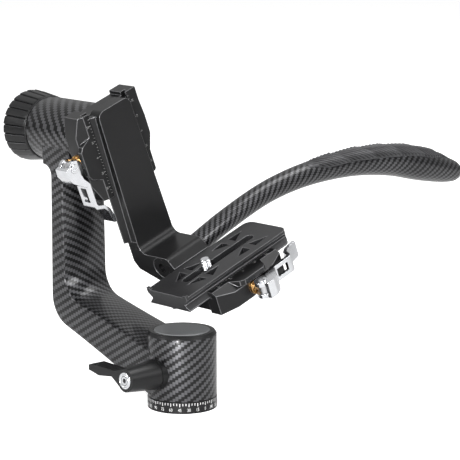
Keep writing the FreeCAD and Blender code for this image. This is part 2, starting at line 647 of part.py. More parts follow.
def section_wire(outer_point, inner_point, half_width, crown, corner):
    """The arm's section: a flat outer face, flat sides and a crowned inner face."""
    across = inner_point - outer_point
    depth = across.Length
    across.normalize()

    def at(run, side):
        return outer_point + across * run + V(0, side, 0)

    diagonal = corner * (1 - math.sqrt(0.5))
    flat = half_width - corner
    edge = depth - crown
    pieces = [
        Part.LineSegment(at(0, -flat), at(0, flat)),
        Part.Arc(at(0, flat), at(diagonal, half_width - diagonal), at(corner, half_width)),
        Part.LineSegment(at(corner, half_width), at(edge, half_width)),
        Part.Arc(at(edge, half_width), at(depth, 0), at(edge, -half_width)),
        Part.LineSegment(at(edge, -half_width), at(corner, -half_width)),
        Part.Arc(at(corner, -half_width), at(diagonal, diagonal - half_width), at(0, -flat)),
    ]
    return Part.Wire([piece.toShape() for piece in pieces])


def arc_point(corner, radius, slope, share):
    """A point on the bend between an upright face and a face that falls by slope, share 0 to 1 along it."""
    turn = math.radians(90.0 - slope)
    tangent = radius * math.tan(turn / 2)
    centre = corner + V(radius, 0, tangent)
    angle = math.pi + share * turn
    return centre + V(radius * math.cos(angle), 0, radius * math.sin(angle))


def limb_solid():
    """Flare, upright, elbow and diagonal of the arm: straight runs between sections along it."""
    outer_x = -z.limb_reach.value
    inner_x = outer_x + z.limb_depth.value
    width = z.limb_half_width.value
    outer_corner = V(outer_x, 0, z.elbow_outer_height.value)
    inner_corner = V(inner_x, 0, z.elbow_inner_height.value)
    flare = z.shoulder_fillet.value
    upright_high = z.axis_height.value - z.tube_radius.value - flare
    rim = upright_high + flare + 4
    stations = [(V(outer_x - flare, 0, rim), V(inner_x + flare, 0, rim), width)]
    for step in range(6, -1, -1):
        lean = math.radians(15.0 * step)
        height = upright_high + flare * math.sin(lean)
        spread = flare * (1 - math.cos(lean))
        stations.append((V(outer_x - spread, 0, height), V(inner_x + spread, 0, height), width))
    for step in range(13):
        stations.append((
            arc_point(outer_corner, z.elbow_outer_radius.value, z.slope_outer.value, step / 12),
            arc_point(inner_corner, z.elbow_inner_radius.value, z.slope_inner.value, step / 12),
            width,
        ))
    outer_end, inner_end, _ = stations[-1]
    root_x = -z.root_reach.value
    fall_outer = math.tan(math.radians(z.slope_outer.value))
    fall_inner = math.tan(math.radians(z.slope_inner.value))
    for step in range(1, 6):
        share = step / 5
        outer_run = (root_x - outer_end.x) * share
        inner_run = (root_x - inner_end.x) * share
        stations.append((
            outer_end + V(outer_run, 0, -fall_outer * outer_run),
            inner_end + V(inner_run, 0, -fall_inner * inner_run),
            width + (z.root_half_width.value - width) * share * share,
        ))
    crown = z.limb_crown.value
    corner = z.limb_corner.value
    return Part.makeLoft([section_wire(a, b, half, crown, corner) for a, b, half in stations], True, True)


def make_swing_arm():
    """Carbon arm with its liners, bearings, trim, brake shoe, friction pad and end plate."""
    low = z.base_height + z.running_gap
    limb = shaped("arm_limb", limb_solid())
    housing = pin("arm_housing", "z", z.housing_radius, low, z.housing_top, (0, 0))
    tube = pin("arm_tube", "x", z.tube_radius, z.tube_left, z.tube_right, (0, z.axis_height))
    seat = pin("boss_seat", "y", z.boss_radius, -z.boss_reach - 5, -z.liner_radius, (0, z.lock_height))
    shell = join("arm_solid", housing, tube, cut("arm_limb_seated", limb, seat))
    housing_bore = pin("housing_bore", "z", z.liner_radius, 0, z.housing_top + 5, (0, 0))
    under = pin("housing_under", "z", z.housing_radius * 2, 0, low, (0, 0))
    tube_bore = pin("tube_bore", "x", z.tube_bore, z.tube_left, z.tube_right, (0, z.axis_height))
    lock_hole = pin("lock_hole", "y", z.boss_nose_radius, -z.housing_radius - 5, 0, (0, z.lock_height))
    sub_part("arm_shell", cut("arm_shell", shell, housing_bore, under, tube_bore, lock_hole))

    skirt_low = z.housing_top - z.trim_skirt
    liner_low = low + 0.1
    rib_low = z.bearing_low + z.bearing_width
    liner_high = skirt_low - 0.1
    liner = turned("liner_ring", "z", [
        (liner_low, z.bearing_radius), (liner_low, z.liner_radius), (liner_high, z.liner_radius),
        (liner_high, z.bearing_radius), (z.bearing_high, z.bearing_radius), (z.bearing_high, z.rib_radius),
        (rib_low, z.rib_radius), (rib_low, z.bearing_radius),
    ])
    shoe_hole = pin("shoe_hole", "y", z.boss_nose_radius, -z.liner_radius - 1, 0, (0, z.lock_height))
    sub_part("housing_liner", cut("housing_liner", liner, shoe_hole))
    for label, height in (("pan_bearing_lower", z.bearing_low), ("pan_bearing_upper", z.bearing_high)):
        sub_part(label, bearing(label, "z", height, z.bearing_radius, z.spindle_radius))

    bevel_low = z.housing_top + 0.6
    sub_part("trim_ring", turned("trim_ring", "z", [
        (skirt_low, z.liner_radius - 2), (skirt_low, z.liner_radius), (z.housing_top, z.liner_radius),
        (z.housing_top, z.housing_radius), (bevel_low, z.housing_radius),
        (z.trim_top, z.housing_radius - z.trim_bevel), (z.trim_top, z.cap_radius + 0.05),
        (z.trim_seat, z.cap_radius + 0.05), (z.trim_seat, z.trim_ledge), (z.trim_seat - 1.4, z.trim_ledge),
    ]))
    sub_part("top_cap", turned("top_cap", "z", [
        (z.trim_seat, 0.0), (z.trim_seat, z.cap_radius), (z.cap_top - 0.4, z.cap_radius),
        (z.cap_top, z.cap_radius - 0.4), (z.cap_top, 0.0),
    ]))

    collar = pin("boss_collar", "y", z.boss_radius, -z.boss_reach, -z.liner_radius, (0, z.lock_height))
    around = pin("boss_around", "z", z.housing_radius, low, z.housing_top, (0, 0))
    nose = pin("boss_nose", "y", z.boss_nose_radius, -z.boss_reach, -z.boss_nose_reach, (0, z.lock_height))
    boss = join("boss_solid", cut("boss_outside", collar, around), nose)
    boss_bore = pin("boss_bore", "y", z.stud_radius + z.shaft_gap, -z.boss_reach, 0, (0, z.lock_height))
    sub_part("pan_lock_boss", cut("pan_lock_boss", boss, boss_bore))

    shoe = pin("shoe_body", "y", z.shoe_radius, -z.boss_nose_reach + 0.6, 0, (0, z.lock_height))
    shoe_hollow = pin("shoe_hollow", "z", z.spindle_radius + z.running_gap / 2, low, z.housing_top, (0, 0))
    shoe_guide = pin("shoe_guide", "y", z.boss_nose_radius, -z.boss_nose_reach + 2, -z.rib_radius,
                     (0, z.lock_height))
    sub_part("pan_brake_shoe", cut("pan_brake_shoe", join("shoe_solid", shoe, shoe_guide), shoe_hollow))

    axis = (0, z.axis_height)
    place = FreeCAD.Placement(V(0, 0, z.axis_height.value), FreeCAD.Rotation())
    plate_right = z.tube_left + z.end_plate_thickness
    rib_left = z.tilt_bearing_left + z.bearing_width
    sub_part("tilt_liner", turned("tilt_liner", "x", [
        (plate_right, z.tilt_bearing_radius), (plate_right, z.tube_bore), (z.tube_right, z.tube_bore),
        (z.tube_right, z.tilt_bearing_radius), (z.tilt_bearing_right, z.tilt_bearing_radius),
        (z.tilt_bearing_right, z.tilt_rib_radius), (rib_left, z.tilt_rib_radius),
        (rib_left, z.tilt_bearing_radius),
    ]), place)
    for label, left in (("tilt_bearing_outer", z.tilt_bearing_left), ("tilt_bearing_inner", z.tilt_bearing_right)):
        sub_part(label, bearing(label, "x", left, z.tilt_bearing_radius, z.shaft_radius), place)
    plate = pin("end_plate_body", "x", z.tube_bore, z.tube_left, plate_right, axis)
    plate_bore = pin("end_plate_bore", "x", z.stud_radius + z.shaft_gap, z.tube_left, plate_right, axis)
    sub_part("tube_end_plate", cut("tube_end_plate", plate, plate_bore))
    pad_right = z.shaft_left - z.running_gap
    sub_part("tilt_brake_pad", pin("tilt_brake_pad", "x", z.tilt_bearing_radius,
                                   pad_right - z.pad_thickness, pad_right, axis))


def make_pan_lock():
    """Lock lever with its wing, its stud and the silver screw in its hub."""
    axis = (0, z.lock_height)
    hub_start = -z.boss_reach - z.running_gap
    hub = cone("lock_hub", "y", z.hub_tip_radius, z.hub_root_radius, -z.hub_end, hub_start, axis)
    front = -z.hub_end
    wing = prism("lock_wing", "xz", [
        (-z.wing_reach, z.lock_height + z.wing_top - z.wing_thickness),
        (-z.wing_reach * 0.72, z.lock_height - 1.4),
        (-z.wing_reach * 0.37, z.lock_height + 0.2),
        (-z.hub_tip_radius * 1.05, z.lock_height - z.hub_tip_radius * 0.45),
        (-z.hub_tip_radius * 0.6, z.lock_height - z.hub_tip_radius * 0.75),
        (0, z.lock_height),
        (-z.hub_tip_radius * 0.3, z.lock_height + z.hub_tip_radius * 0.93),
        (-z.hub_tip_radius * 1.4, z.lock_height + z.wing_top * 0.95),
        (-z.wing_reach * 0.93, z.lock_height + z.wing_top + 0.3),
        (-z.wing_reach, z.lock_height + z.wing_top - 0.6),
    ], front, front + z.wing_depth)
    lever = join("lock_solid", hub, wing)
    stud_start = front + z.lock_disc_depth + 2
    stud_hole = pin("lock_stud_hole", "y", z.stud_radius, stud_start, hub_start, axis)
    recess = pin("lock_recess", "y", z.lock_disc_radius, front, front + z.lock_disc_depth, axis)
    screw_hole = pin("lock_screw_hole", "y", z.stud_radius / 2, front, stud_start, axis)
    sub_part("pan_lock_lever", cut("pan_lock_lever", lever, stud_hole, recess, screw_hole))
    sub_part("pan_lock_stud", pin("pan_lock_stud", "y", z.stud_radius, stud_start,
                                  -z.boss_nose_reach + z.running_gap, axis))
    disc = pin("lock_disc", "y", z.lock_disc_radius, front - 0.6, front + z.lock_disc_depth, axis)
    shank = pin("lock_shank", "y", z.stud_radius / 2, front, stud_start, axis)
    drive = pin("lock_drive", "y", z.stud_radius * 0.35, front - 0.6, front + 0.4, axis)
    sub_part("pan_lock_screw", cut("pan_lock_screw", join("lock_screw_solid", disc, shank), drive))


def make_tilt_knob():
    """Conical grooved knob with its cap and stud."""
    axis = (0, z.axis_height)
    body = cone("knob_cone", "x", z.knob_radius, z.knob_neck_radius, z.knob_left, z.knob_right, axis)
    count = int(z.knob_groove_count.value)
    lean = math.degrees(math.atan((z.knob_radius.value - z.knob_neck_radius.value)
                                  / (z.knob_right.value - z.knob_left.value)))
    grooves = []
    for number in range(count):
        groove = doc.addObject("Part::Box", "knob_groove_%d" % number)
        bind(groove, "Length", z.knob_right - z.knob_left + 4)
        bind(groove, "Width", z.knob_groove_width)
        bind(groove, "Height", z.knob_groove_depth + 3)
        start = V(z.knob_left.value - 2, -z.knob_groove_width.value / 2,
                  z.knob_radius.value - z.knob_groove_depth.value)
        turn = FreeCAD.Rotation(V(1, 0, 0), 360.0 * number / count)
        slant = FreeCAD.Placement(start, FreeCAD.Rotation(V(0, 1, 0), lean))
        groove.Placement = FreeCAD.Placement(V(0, 0, z.axis_height.value), turn) * slant
        grooves.append(groove)
    recess = pin("knob_recess", "x", z.knob_cap_radius, z.knob_left, z.knob_left + z.knob_cap_depth, axis)
    stud_left = z.knob_left + z.knob_cap_depth + 2
    bore = pin("knob_bore", "x", z.stud_radius, stud_left, z.knob_right, axis)
    sub_part("tilt_knob", cut("tilt_knob", body, group("knob_grooves", *grooves), recess, bore))
    sub_part("knob_cap", pin("knob_cap", "x", z.knob_cap_radius, z.knob_left,
                             z.knob_left + z.knob_cap_depth, axis))
    stud_right = z.shaft_left - z.running_gap * 2 - z.pad_thickness
    sub_part("knob_stud", pin("knob_stud", "x", z.stud_radius, stud_left, stud_right, axis))


def clamp_back():
    """Where the upper clamp's back lies along X."""
    return z.bracket_face - z.clamp_depth


def make_tilt_shaft():
    """Shaft with its flange, drilled for the upper clamp's screws."""
    back = clamp_back()
    flange_left = back - z.shaft_flange_thickness
    step_left = flange_left - z.shaft_step_length
    body = turned("shaft_body", "x", [
        (z.shaft_left, 0.0), (z.shaft_left, z.shaft_radius), (step_left, z.shaft_radius),
        (step_left, z.shaft_step_radius), (flange_left, z.shaft_step_radius),
        (flange_left, z.shaft_flange_radius), (back, z.shaft_flange_radius), (back, 0.0),
    ])
    taps = []
    for number, (side, rise) in enumerate(clamp_screw_spots()):
        taps.append(pin("shaft_tap_%d" % number, "x", z.small_shank_radius, back - z.clamp_screw_reach, back,
                        (-side, -rise)))
    sub_part("tilt_shaft", cut("tilt_shaft", body, *taps), CRADLE)


def clamp_screw_spots():
    """The four screws about the tilt axis, as offsets across and along the upper clamp."""
    for side in (-1, 1):
        for rise in (-1, 1):
            yield z.clamp_screw_side * side, z.clamp_screw_rise * rise


def channel_points(side, wall):
    """The clamp's channel in section: open above, with a 45 degree nose over the dovetail on one side."""
    lip = z.neck_half + z.jaw_gap + z.jaw_top - z.plate_thickness + z.dovetail_land + z.flank_height
    foot = z.dovetail_half + z.jaw_gap
    run = foot - lip
    return [
        (side * lip, 5.0),
        (side * lip, -z.jaw_top),
        (side * foot, -z.jaw_top - run),
        (side * foot, -z.channel_floor),
        (wall, -z.channel_floor),
        (wall, 5.0),
    ]


def make_clamp_body(prefix, fixed_outline, back):
    """Body with the fixed jaw: channel, rod bore, nut seat and guide pin seats."""
    half = z.clamp_half_length
    low = -z.clamp_depth
    solid = prism(prefix + "_body_block", "xy", fixed_outline, low, -z.jaw_top)
    channel = prism(prefix + "_channel", "xz", channel_points(-1, z.body_side + 5), -half - 5, half + 5)
    axis = (0, -z.rod_depth)
    rod_bore = pin(prefix + "_rod_bore", "x", z.rod_radius, -back, z.body_side + 1, axis)
    nut_seat = pin(prefix + "_nut_seat", "x", z.rod_nut_radius, -back - 1, -back + z.rod_nut_height + 0.4, axis)
    tools = [channel, rod_bore, nut_seat]
    for number, side in enumerate((-1, 1)):
        tools.append(pin("%s_guide_seat_%d" % (prefix, number), "x", z.guide_radius, z.guide_start,
                         z.body_side + 1, (z.guide_spread * side, -z.rod_depth)))
        ends = sorted((half * side + 2 * side, (half - z.clamp_set_back) * side), key=lambda item: item.value)
        tools.append(block("%s_set_back_%d" % (prefix, number), (-z.neck_half, z.body_side + 1), tuple(ends),
                           (low - 1, 0)))
    return solid, tools


def make_jaw(prefix, place):
    """Moving jaw: end blocks with bevels, a bridge over the lever head, and the hollow for that head."""
    half = z.clamp_half_length
    low = -z.clamp_depth
    inner = z.body_side + z.running_gap
    top = -z.jaw_top
    block_top = prism(prefix + "_jaw_block", "xy", [
        (inner, -half), (z.jaw_end_side, -half), (z.jaw_side, -half + z.jaw_corner),
        (z.jaw_side, half - z.jaw_corner), (z.jaw_end_side, half), (inner, half),
    ], low, top)
    bevel = prism(prefix + "_jaw_bevel", "xz", [
        (z.jaw_face_side, top + 0.01), (z.jaw_side + 2, top + 0.01), (z.jaw_side + 2, top - z.jaw_bevel_depth),
        (z.jaw_side + 0.2, top - z.jaw_bevel_depth),
    ], -half - 1, half + 1)
    bridge = prism(prefix + "_jaw_bridge", "xy", [
        (z.jaw_face_side - 1, -z.jaw_bridge_root), (z.jaw_side + 0.5, -z.jaw_bridge_half - 1.5),
        (z.jaw_bridge_side, -z.jaw_bridge_half + 1.5), (z.jaw_bridge_side, z.jaw_bridge_half - 1.5),
        (z.jaw_side + 0.5, z.jaw_bridge_half + 1.5), (z.jaw_face_side - 1, z.jaw_bridge_root),
    ], top - z.jaw_bridge_thickness, top)
    solid = join(prefix + "_jaw_solid", cut(prefix + "_jaw_bevelled", block_top, bevel), bridge)
    lip = channel_points(1, inner - 5)
    lip[3] = (lip[3][0], -z.channel_floor - z.running_gap)
    lip[4] = (lip[4][0], -z.channel_floor - z.running_gap)
    nose = prism(prefix + "_jaw_nose", "xz", lip, -half - 5, half + 5)
    pocket = pin(prefix + "_jaw_pocket", "z", z.pocket_radius, low - 1, top - z.jaw_bridge_thickness,
                 (z.pivot_side, 0))
    axis = (0, -z.rod_depth)
    seat = pin(prefix + "_washer_seat", "x", z.washer_radius + 0.15, z.washer_seat, z.jaw_bridge_side + 1, axis)
    rod_hole = pin(prefix + "_jaw_rod_hole", "x", z.rod_radius + z.running_gap, inner - 1, z.jaw_side, axis)
    guides = [
        pin("%s_jaw_guide_%d" % (prefix, number), "x", z.guide_radius + z.shaft_gap, inner - 1,
            z.guide_end + z.running_gap, (z.guide_spread * side, -z.rod_depth))
        for number, side in enumerate((-1, 1))
    ]
    label = prefix + "_jaw"
    sub_part(label, cut(label, solid, nose, pocket, seat, rod_hole, *guides), place)
    washer = pin(prefix + "_washer_disc", "x", z.washer_radius, z.washer_seat, z.washer_face, axis)
    washer_hole = pin(prefix + "_washer_hole", "x", z.rod_radius + z.running_gap, z.washer_seat,
                      z.washer_face, axis)
    label = prefix + "_cam_washer"
    sub_part(label, cut(label, washer, washer_hole), place)


def make_lever(prefix, place):
    """Chrome lever: cam cheeks on the pin, arm with a window, curled finger tab."""
    top = -z.lever_top
    low = top - z.lever_width
    turn = math.radians(z.cam_angle.value)
    centre = (z.pivot_side + z.cam_offset * math.cos(turn), z.cam_offset * math.sin(turn))
    cam = pin(prefix + "_cam", "z", z.cam_radius, low, top, centre)
    arm_out = z.arm_side + z.arm_thickness
    web = prism(prefix + "_lever_web", "xy", [
        (z.pivot_side + 2, -3.0), (z.fork_depth + 2.4, -1.8), (z.fork_depth + 2.6, 3.5),
        (z.fork_depth, 8.5), (z.pivot_side, 12.5), (arm_out + 0.2, z.window_start - 1.5),
        (arm_out, z.arm_end), (arm_out - 1.4, z.arm_end + 2.6),
        (z.tab_side + 5.9, z.arm_end + 4.8), (z.tab_side + 3.8, z.arm_end + 7.8),
        (z.tab_side + z.tab_thickness / 2, z.tab_end + 0.3), (z.tab_side - z.tab_thickness / 2, z.tab_end - 0.3),
        (z.tab_side + 1.4, z.arm_end + 6.6), (z.tab_side + 4.4, z.arm_end + 2.6),
        (z.arm_side - 1.0, z.arm_end + 0.8), (z.arm_side, z.arm_end - 0.8),
        (z.arm_side, z.window_start - 3), (z.arm_side + 3.4, 9.5), (z.pivot_side - 3.5, 4.5),
    ], low, top)
    middle = -z.rod_depth
    fork = block(prefix + "_fork_slot", (z.arm_side - 3, z.fork_depth), (-9, 9),
                 (middle - z.fork_slot / 2, middle + z.fork_slot / 2))
    window = block(prefix + "_lever_window", (z.arm_side - 1, arm_out + 1),
                   (z.window_start, z.window_start + z.window_length),
                   (middle - z.window_width / 2, middle + z.window_width / 2))
    hole = pin(prefix + "_pin_hole", "z", z.pin_radius, low, top, (z.pivot_side, 0))
    label = prefix + "_lever"
    sub_part(label, cut(label, join(prefix + "_lever_solid", cam, web), fork, window, hole), place)
    shank = pin(prefix + "_pin_shank", "z", z.pin_radius, low, top, (z.pivot_side, 0))
    head = pin(prefix + "_pin_head", "z", z.pin_head_radius, top, top + z.pin_head_height, (z.pivot_side, 0))
    slot = block(prefix + "_pin_slot", (z.pivot_side - 4, z.pivot_side + 4), (-0.4, 0.4),
                 (top + z.pin_head_height / 2, top + 2))
    label = prefix + "_lever_pin"
    sub_part(label, cut(label, join(prefix + "_pin_solid", shank, head), slot), place)


def make_clamp_fittings(prefix, place, back):
    """Tension rod with its eye, its nut, and the two guide pins."""
    axis = (0, -z.rod_depth)
    nut_face = -back + 0.4
    shank = pin(prefix + "_rod_shank", "x", z.rod_radius, nut_face + 0.2, z.pivot_side - z.eye_radius / 2, axis)
    middle = -z.rod_depth
    eye = pin(prefix + "_rod_eye", "z", z.eye_radius, middle - z.eye_width / 2, middle + z.eye_width / 2,
              (z.pivot_side, 0))
    hole = pin(prefix + "_eye_hole", "z", z.pin_radius + z.shaft_gap, middle - z.eye_width,
               middle + z.eye_width, (z.pivot_side, 0))
    label = prefix + "_tension_rod"
    sub_part(label, cut(label, join(prefix + "_rod_solid", shank, eye), hole), place)
    nut = pin(prefix + "_nut_disc", "x", z.rod_nut_radius, nut_face, nut_face + z.rod_nut_height, axis)
    nut_hole = pin(prefix + "_nut_hole", "x", z.rod_radius, nut_face, nut_face + z.rod_nut_height, axis)
    label = prefix + "_rod_nut"
    sub_part(label, cut(label, nut, nut_hole), place)
    pins = [
        pin("%s_guide_%d" % (prefix, number), "x", z.guide_radius, z.guide_start, z.guide_end,
            (z.guide_spread * side, -z.rod_depth))
        for number, side in enumerate((-1, 1))
    ]
    label = prefix + "_guide_pins"
    sub_part(label, group(label, *pins), place)


def make_upper_clamp():
    """Clamp on the tilt shaft, with its four screws."""
    half = z.clamp_half_length
    shape = [
        (-z.fixed_tail + 1.2, half), (-z.fixed_tail, half - 1.2), (-z.fixed_tail, half * 0.5),
        (-z.fixed_bulge, half * 0.14), (-z.fixed_bulge, -half * 0.3), (-z.fixed_head, -half * 0.68),
        (-z.fixed_head, -half), (z.body_side, -half), (z.body_side, half),
    ]
    solid, tools = make_clamp_body("upper", shape, z.fixed_bulge)
    seat = -z.channel_floor - z.running_gap - z.small_head_height
    screws = []
    for number, (side, rise) in enumerate(clamp_screw_spots()):
        spot = (side, z.upper_clamp_drop + rise)
        tools.append(pin("upper_counterbore_%d" % number, "z", z.small_head_radius + 0.1, seat, 0, spot))
        tools.append(pin("upper_screw_hole_%d" % number, "z", z.small_shank_radius, -z.clamp_depth - 1, seat, spot))
        head = pin("upper_screw_head_%d" % number, "z", z.small_head_radius, seat, seat + z.small_head_height, spot)
        shank = pin("upper_screw_shank_%d" % number, "z", z.small_shank_radius,
                    -z.clamp_depth - z.clamp_screw_reach, seat, spot)
        screws.append(join("upper_screw_%d" % number, head, shank))
    sub_part("upper_clamp_body", cut("upper_clamp_body", solid, *tools), UPPER)
    sub_part("upper_clamp_screws", group("upper_clamp_screws", *screws), UPPER)
    make_clamp_fittings("upper", UPPER, z.fixed_bulge)
    make_jaw("upper", UPPER)
    make_lever("upper", UPPER)


def lower_screw_spots():
    """The two screws that hold the lower clamp to the foot, along the clamp."""
    return (z.lug_screw_near, z.lug_screw_far)


def make_lower_clamp():
    """Clamp beside the bracket's foot, with its two screws."""
    half = z.clamp_half_length
    side = z.fixed_side_lower
    shape = [(-side, half), (-side, -half), (z.body_side, -half), (z.body_side, half)]
    solid, tools = make_clamp_body("lower", shape, side)
    screws = []
    lug_left = z.foot_lug_side - z.lens_plate_x
    for number, along in enumerate(lower_screw_spots()):
        spot = (along, -z.rod_depth - 1)
        tools.append(pin("lower_screw_hole_%d" % number, "x", z.small_shank_radius, -side - 1, -side + z.lug_screw_bite, spot))
        head = pin("lower_screw_head_%d" % number, "x", z.small_head_radius, lug_left - z.small_head_height,
                   lug_left, spot)
        shank = pin("lower_screw_shank_%d" % number, "x", z.small_shank_radius, lug_left, -side + z.lug_screw_bite, spot)
        screws.append(join("lower_screw_%d" % number, head, shank))
    sub_part("lower_clamp_body", cut("lower_clamp_body", solid, *tools), LOWER)
    sub_part("lower_clamp_screws", group("lower_clamp_screws", *screws), LOWER)
    make_clamp_fittings("lower", LOWER, side)
    make_jaw("lower", LOWER)
    make_lever("lower", LOWER)


def make_bracket():
    """L bracket: upright with a dovetail on its back, foot with the handle's bore, lug for the clamp."""
    face = z.bracket_face
    back = face - z.plate_thickness
    half = z.bracket_foot_half
    top = z.bracket_top
    drop = z.bracket_rail_end
    upright = prism("bracket_upright", "yz", [
        (-z.bracket_top_half, top), (z.bracket_top_half, top), (half, drop), (half, z.foot_top),
        (-half, z.foot_top), (-half, drop),
    ], back, face)
    upright = rounded("bracket_rounded", upright, z.bracket_corner,
                      lambda edge: all(near(end.Point.z, top.value) for end in edge.Vertexes)
                      and near(abs(edge.Vertexes[0].Y), z.bracket_top_half.value)
                      and near(edge.Length, z.plate_thickness.value))
    flank_top = back + z.dovetail_land + z.dovetail_half - z.bracket_top_half
    rail = prism("bracket_rail", "xy", [
        (back, -z.dovetail_half), (back, z.dovetail_half), (back + z.dovetail_land, z.dovetail_half),
        (flank_top, z.bracket_top_half), (flank_top, -z.bracket_top_half),
        (back + z.dovetail_land, -z.dovetail_half),
    ], drop, top - z.bracket_corner / 2)
    lug_bottom = z.lens_plate_top - z.clamp_depth
    foot = prism("bracket_foot_block", "xz", [
        (face, z.foot_top + z.foot_fold + 2), (face, z.foot_top),
        (z.foot_edge, z.foot_top), (z.foot_side, z.lens_plate_top), (z.foot_side, lug_bottom),
        (z.foot_lug_side, lug_bottom), (z.foot_lug_side, z.foot_bottom - 1.5),
        (z.foot_lug_side - 1.5, z.foot_bottom),
        (z.foot_slope_start, z.foot_bottom + 6), (back, z.foot_top - z.foot_chamfer_height), (back, drop),
    ], -half, half)
    foot = rounded("bracket_foot_edge", foot, z.foot_round,
                   lambda edge: stands_at(edge, x=z.foot_edge.value, up=z.foot_top.value))
    foot = rounded("bracket_foot", foot, z.foot_fold,
                   lambda edge: stands_at(edge, x=face.value, up=z.foot_top.value))
    body = join("bracket_solid", upright, rail, foot)
    axis = (z.handle_x, z.handle_start_drop)
    sink = -half + z.handle_bolt_sink
    spigot_start = half - z.spigot_length
    holes = [
        pin("handle_bore", "y", z.spigot_radius, spigot_start, half + 1, axis),
        pin("handle_bolt_seat", "y", z.handle_bolt_head + 0.2, -half - 1, sink, axis),
        pin("handle_bolt_hole", "y", z.handle_bolt_radius, sink - 1, spigot_start + 1, axis),
        pin("bracket_stop_hole", "x", z.small_shank_radius, back, back + 5, (0, z.bracket_stop)),
    ]
    for number, along in enumerate(lower_screw_spots()):
        holes.append(pin("lug_hole_%d" % number, "x", z.small_shank_radius, z.foot_lug_side - 3, z.foot_side + 1,
                         (z.lower_clamp_y + along, z.lens_plate_top - z.rod_depth - 1)))
    sub_part("l_bracket", cut("l_bracket", body, *holes), CRADLE)
    head = pin("bracket_stop_head", "x", z.stop_radius, back - z.stop_height, back, (0, z.bracket_stop))
    shank = pin("bracket_stop_shank", "x", z.small_shank_radius, back, back + 5, (0, z.bracket_stop))
    sub_part("bracket_stop_screw", join("bracket_stop_screw", head, shank), CRADLE)
    bolt_head = pin("handle_bolt_cap", "y", z.handle_bolt_head, -half + 0.5, sink, axis)
    bolt_shank = pin("handle_bolt_shank", "y", z.handle_bolt_radius, sink, z.handle_bolt_end, axis)
    bolt_drive = pin("handle_bolt_drive", "y", z.handle_bolt_radius, -half, sink - 1.2, axis)
    sub_part("handle_bolt", cut("handle_bolt", join("handle_bolt_solid", bolt_head, bolt_shank), bolt_drive),
             CRADLE)


def handle_line():
    """The handle's line from the foot to its tip: distance along Y, height and radius at each of its points."""
    start = z.handle_start_drop.value
    yield z.handle_y_1.value, start, z.handle_r_1.value
    for number in range(2, HANDLE_POINTS + 1):
        along = getattr(z, "handle_y_%d" % number).value
        rise = getattr(z, "handle_rise_%d" % number).value
        yield along, start + rise, getattr(z, "handle_r_%d" % number).value


HANDLE_POINTS = 12
HANDLE_LINE = list(handle_line())


def handle_direction(index):
    """The way the handle runs at one of its points."""
    before = HANDLE_LINE[max(index - 1, 0)]
    after = HANDLE_LINE[min(index + 1, len(HANDLE_LINE) - 1)]
    way = V(0, after[0] - before[0], after[1] - before[1])
    return way.normalize()


def handle_solid():
    """Loft through circles along the handle's line."""
    wires = []
    for index, (along, height, radius) in enumerate(HANDLE_LINE):
        way = V(0, 1, 0) if index == 0 else handle_direction(index)
        circle = Part.Circle(V(z.handle_x.value, along, height), way, radius)
        wires.append(Part.Wire([circle.toShape()]))
    return Part.makeLoft(wires, True, False)


def seam_height(along):
    """Height of the seam between tube and grip: on the centre line at first, above it towards the tip."""
    for (y0, h0, _), (y1, h1, _) in zip(HANDLE_LINE, HANDLE_LINE[1:]):
        if along <= y1:
            break
    middle = h0 + (h1 - h0) * (along - y0) / (y1 - y0)
    share = (along - z.grip_start.value) / (z.grip_end.value - z.grip_start.value)
    return middle + 6.5 * share


def make_handle():
    """Handle: carbon tube with a spigot in the foot, and the grip pad along the top of its end."""
    whole = shaped("handle_whole", handle_solid())
    start = z.grip_start.value
    end = z.grip_end.value
    count = 6
    seam = []
    for index in range(count + 1):
        along = start + (end - start) * index / count
        seam.append((along, seam_height(along)))
    rise = 40.0
    above = [(start - 9, seam[0][1] + rise)] + [(start - 9, seam[0][1] + 13)] + seam
    above += [(end + 6, seam[-1][1] + 8), (end + 6, seam[0][1] + rise)]
    half = z.knob_radius
    pad_space = prism("grip_space", "yz", above, z.handle_x - half, z.handle_x + half)
    pad_space_again = prism("grip_space_again", "yz", above, z.handle_x - half, z.handle_x + half)
    whole_again = shaped("handle_whole_again", handle_solid())
    sub_part("handle_grip", overlap("handle_grip", whole_again, pad_space_again), CRADLE)
    axis = (z.handle_x, z.handle_start_drop)
    face = z.bracket_foot_half
    spigot = pin("handle_spigot", "y", z.spigot_radius, face - z.spigot_length, face + 1, axis)
    bolt = pin("handle_bolt_thread", "y", z.handle_bolt_radius, face - z.spigot_length, z.handle_bolt_end, axis)
    sub_part("handle_tube", cut("handle_tube", join("handle_tube_solid", whole, spigot), pad_space, bolt), CRADLE)


def windows():
    """Corners of the plate's four windows on one side of the slot, across and along the plate."""
    yield [(z.window_1_inner, z.window_1_near), (z.window_1_outer, z.window_1_far),
           (z.window_1_inner, z.window_1_far)]
    yield [(z.window_2_inner, z.window_2_near), (z.window_2_outer, z.window_2_near),
           (z.window_2_point, z.window_2_far)]
    yield [(z.window_3_point, z.window_3_near), (z.window_3_outer, z.window_3_far),
           (z.window_3_inner, z.window_3_far)]
    yield [(z.window_4_inner, z.window_4_near), (z.window_4_outer, z.window_4_near),
           (z.window_4_point, z.window_4_far)]


